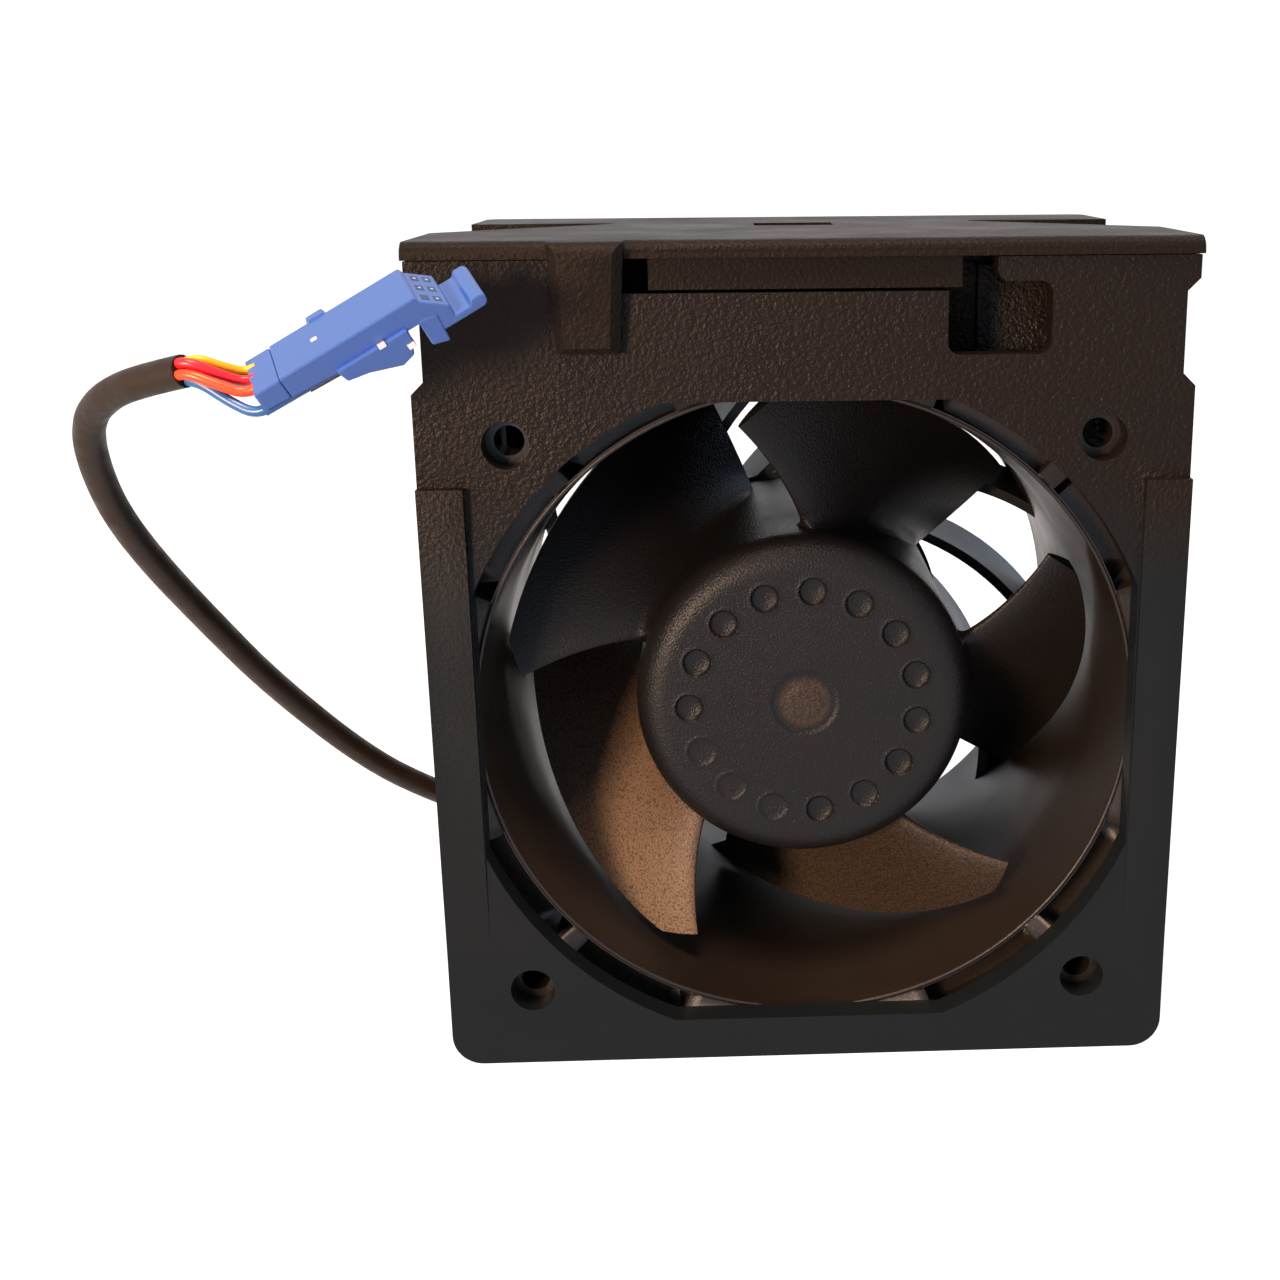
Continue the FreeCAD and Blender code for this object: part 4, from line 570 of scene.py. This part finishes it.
WIRE_RUNS = (((-0.5, -2.6, -1.75), 0.42, 6.6), ((3.0, -1.9, -2.3), 0.38, 4.0))


def prism(outline, near, far):
    """Closed prism of an outline in the plug's X and Z, drawn out along its Y from near to far."""
    flat = np.array(outline)
    points = np.concatenate([np.insert(flat, 1, near, axis=1), np.insert(flat, 1, far, axis=1)])
    count = len(flat)
    first = np.arange(count)
    after = (first + 1) % count
    sides = np.stack([first, first + count, after + count, after], axis=1).tolist()
    return points, [list(range(count)), list(range(count, 2 * count))[::-1]] + sides


def plug_piece(name, solids, material, edge):
    """One piece of several closed prisms, stood in the plug's own place."""
    points, faces = [], []
    for solid_points, solid_faces in solids:
        faces += [[corner + len(points) for corner in face] for face in solid_faces]
        points += solid_points.tolist()
    stand = np.array(Euler(np.radians(PLUG_TURN)).to_matrix())
    placed = (np.array(points) @ stand.T + PLUG_PLACE) * MM
    piece = new_piece(name, placed, faces, material, "module")
    bevel = piece.modifiers.new("mould radii", "BEVEL")
    bevel.width = edge * MM
    bevel.segments = 2
    bevel.limit_method = "ANGLE"
    bevel.angle_limit = math.radians(30)
    return piece


def on_slope(step, half_length, low, high):
    """Rectangle standing on the nose's slope, at a distance down it from the upper edge."""
    along_slope = np.array([math.cos(NOSE_SLOPE), -math.sin(NOSE_SLOPE)])
    outward = np.array([math.sin(NOSE_SLOPE), math.cos(NOSE_SLOPE)])
    middle = np.array(NOSE_TOP) + step * along_slope
    return [middle + a * half_length * along_slope + b * outward
            for a, b in ((-1, low), (1, low), (1, high), (-1, high))]


nylon, tree = new_material("blue nylon, satin")
plastic = add_node(tree, "BsdfPrincipled", Base_Color=linear("#305dbd"), IOR=1.53, Roughness=0.34,
                   Subsurface_Weight=0.15, Subsurface_Scale=1.0 * MM)
add_node(tree, "OutputMaterial", Surface=(plastic, 0))
window_shade_paint, tree = new_material("blue nylon, painted window shade")
plastic = add_node(tree, "BsdfPrincipled", Base_Color=linear("#1b3a78"), IOR=1.53, Roughness=0.5)
add_node(tree, "OutputMaterial", Surface=(plastic, 0))
housing_solids = [prism(HOUSING, -HALF_WIDTH, HALF_WIDTH),
                  prism(REAR_BLOCK, -HALF_WIDTH + 0.05, HALF_WIDTH - 0.05),
                  prism(LATCH, -HALF_WIDTH - 0.5, -0.8),
                  prism(FOOT, -HALF_WIDTH - 0.1, -1.6),
                  prism(FAR_BUMP, HALF_WIDTH - 0.2, HALF_WIDTH + 0.8),
                  prism(FAR_RAIL, HALF_WIDTH - 0.2, HALF_WIDTH + 0.35)]
plug = plug_piece("plug_moulding", housing_solids, nylon, 0.14)
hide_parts("connector_housing")

# Dark tiles of painted shade stand for the shaded depth of the windows. They lie in the nose's slope,
# with a contact tip in all but one of them.
length, width = WINDOW_HALVES
shade_tiles = [prism(on_slope(step, length, -0.2, 0.02), row - width, row + width)
          for step in WINDOW_STEPS for row in WINDOW_ROWS]
windows = plug_piece("plug_windows", shade_tiles, window_shade_paint, 0.01)
tin, tree = new_material("tin plate on the contacts")
metal = add_node(tree, "BsdfPrincipled", Base_Color=linear("#d6d6d8"), Metallic=1.0, Roughness=0.28)
add_node(tree, "OutputMaterial", Surface=(metal, 0))
length, width = TIP_HALVES
tips = [prism(on_slope(step, length, -0.2, 0.04), row - width, row + width)
        for step in WINDOW_STEPS for row in WINDOW_ROWS][1:]
length, height = SIDE_HALVES
for x, z, near in SIDE_CONTACTS:
    square = [(x - length, z - height), (x + length, z - height), (x + length, z + height),
              (x - length, z + height)]
    tips.append(prism(square, near, -3.0))
contacts = plug_piece("contact_tips", tips, tin, 0.04)
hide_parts("connector_contacts")

# A pale tile on the upper face is a painted glint, a bright reflection drawn as colour.
glint_paint, tree = new_material("blue nylon, painted glint")
plastic = add_node(tree, "BsdfPrincipled", Base_Color=linear("#dfe5f6"), IOR=1.53, Roughness=0.2)
add_node(tree, "OutputMaterial", Surface=(plastic, 0))
glint_outline = [(4.95, -0.2), (5.45, -0.2), (5.45, 0.03), (4.95, 0.03)]
glint_piece = plug_piece("plug_painted_glint", [prism(glint_outline, -0.4, 0.1)], glint_paint, 0.02)

# The blue and the black wire go on along the plug's underside, each as a short straight rod.
rim = np.radians(np.arange(0, 360, 24))
corners = list(range(2 * len(rim)))
rod_faces = grid_faces(2, len(rim)) + [corners[:len(rim)][::-1], corners[len(rim):]]
runs = []
for start, radius, reach in WIRE_RUNS:
    ring = np.array(start) + radius * np.stack([0 * rim, np.cos(rim), np.sin(rim)], axis=-1)
    runs.append((np.concatenate([ring, ring + [reach, 0, -0.15]]), rod_faces))
blue_run = plug_piece("blue_wire_run", runs[:1], wires[3].data.materials[0], 0.01)
black_run = plug_piece("black_wire_run", runs[1:], wires[4].data.materials[0], 0.01)

# ---- Motor and small parts ---------------------------------------------------------------------
# What the hub hides: steel yoke, ferrite ring, brass bearing tube, ball bearings, laminated stator
# with enamelled copper coils, and the green drive board. Also the grommet.
FINISHES = {
    "zinc-plated steel": ("#c0c0c4", 1.0, 0.38,
                          ["rotor_yoke", "preload_washer", "retaining_clip", "stator_core"]),
    "ground bearing steel": ("#cdcdd2", 1.0, 0.2,
                             ["motor_shaft", "bearing_inner_races", "bearing_outer_races", "bearing_balls"]),
    "bonded ferrite": ("#3b3b3e", 0.0, 0.7, ["rotor_magnet"]),
    "turned brass": ("#d8b86a", 1.0, 0.3, ["bearing_tube"]),
    "natural nylon": ("#e0dccf", 0.0, 0.5, ["winding_insulators"]),
    "enamelled copper": ("#b8642c", 1.0, 0.3, ["stator_coils"]),
    "green solder mask": ("#1f6b3a", 0.0, 0.35, ["circuit_board"]),
    "moulded epoxy": ("#262626", 0.0, 0.55, ["drive_chip", "hall_sensor", "board_capacitors"]),
    "black PBT, plain": ("#242120", 0.0, 0.5, ["bearing_cap", "board_spacers"]),
}
for name, (colour, metallic, roughness, users) in FINISHES.items():
    finish, tree = new_material(name)
    surface = add_node(tree, "BsdfPrincipled", Base_Color=linear(colour), Metallic=metallic,
                       Roughness=roughness)
    add_node(tree, "OutputMaterial", Surface=(surface, 0))
    for user in users:
        nodes[user].data.materials.clear()
        nodes[user].data.materials.append(finish)
for user, finish in (("inner_lead", sleeving), ("lead_grommet", carrier_plastic)):
    nodes[user].data.materials.clear()
    nodes[user].data.materials.append(finish)
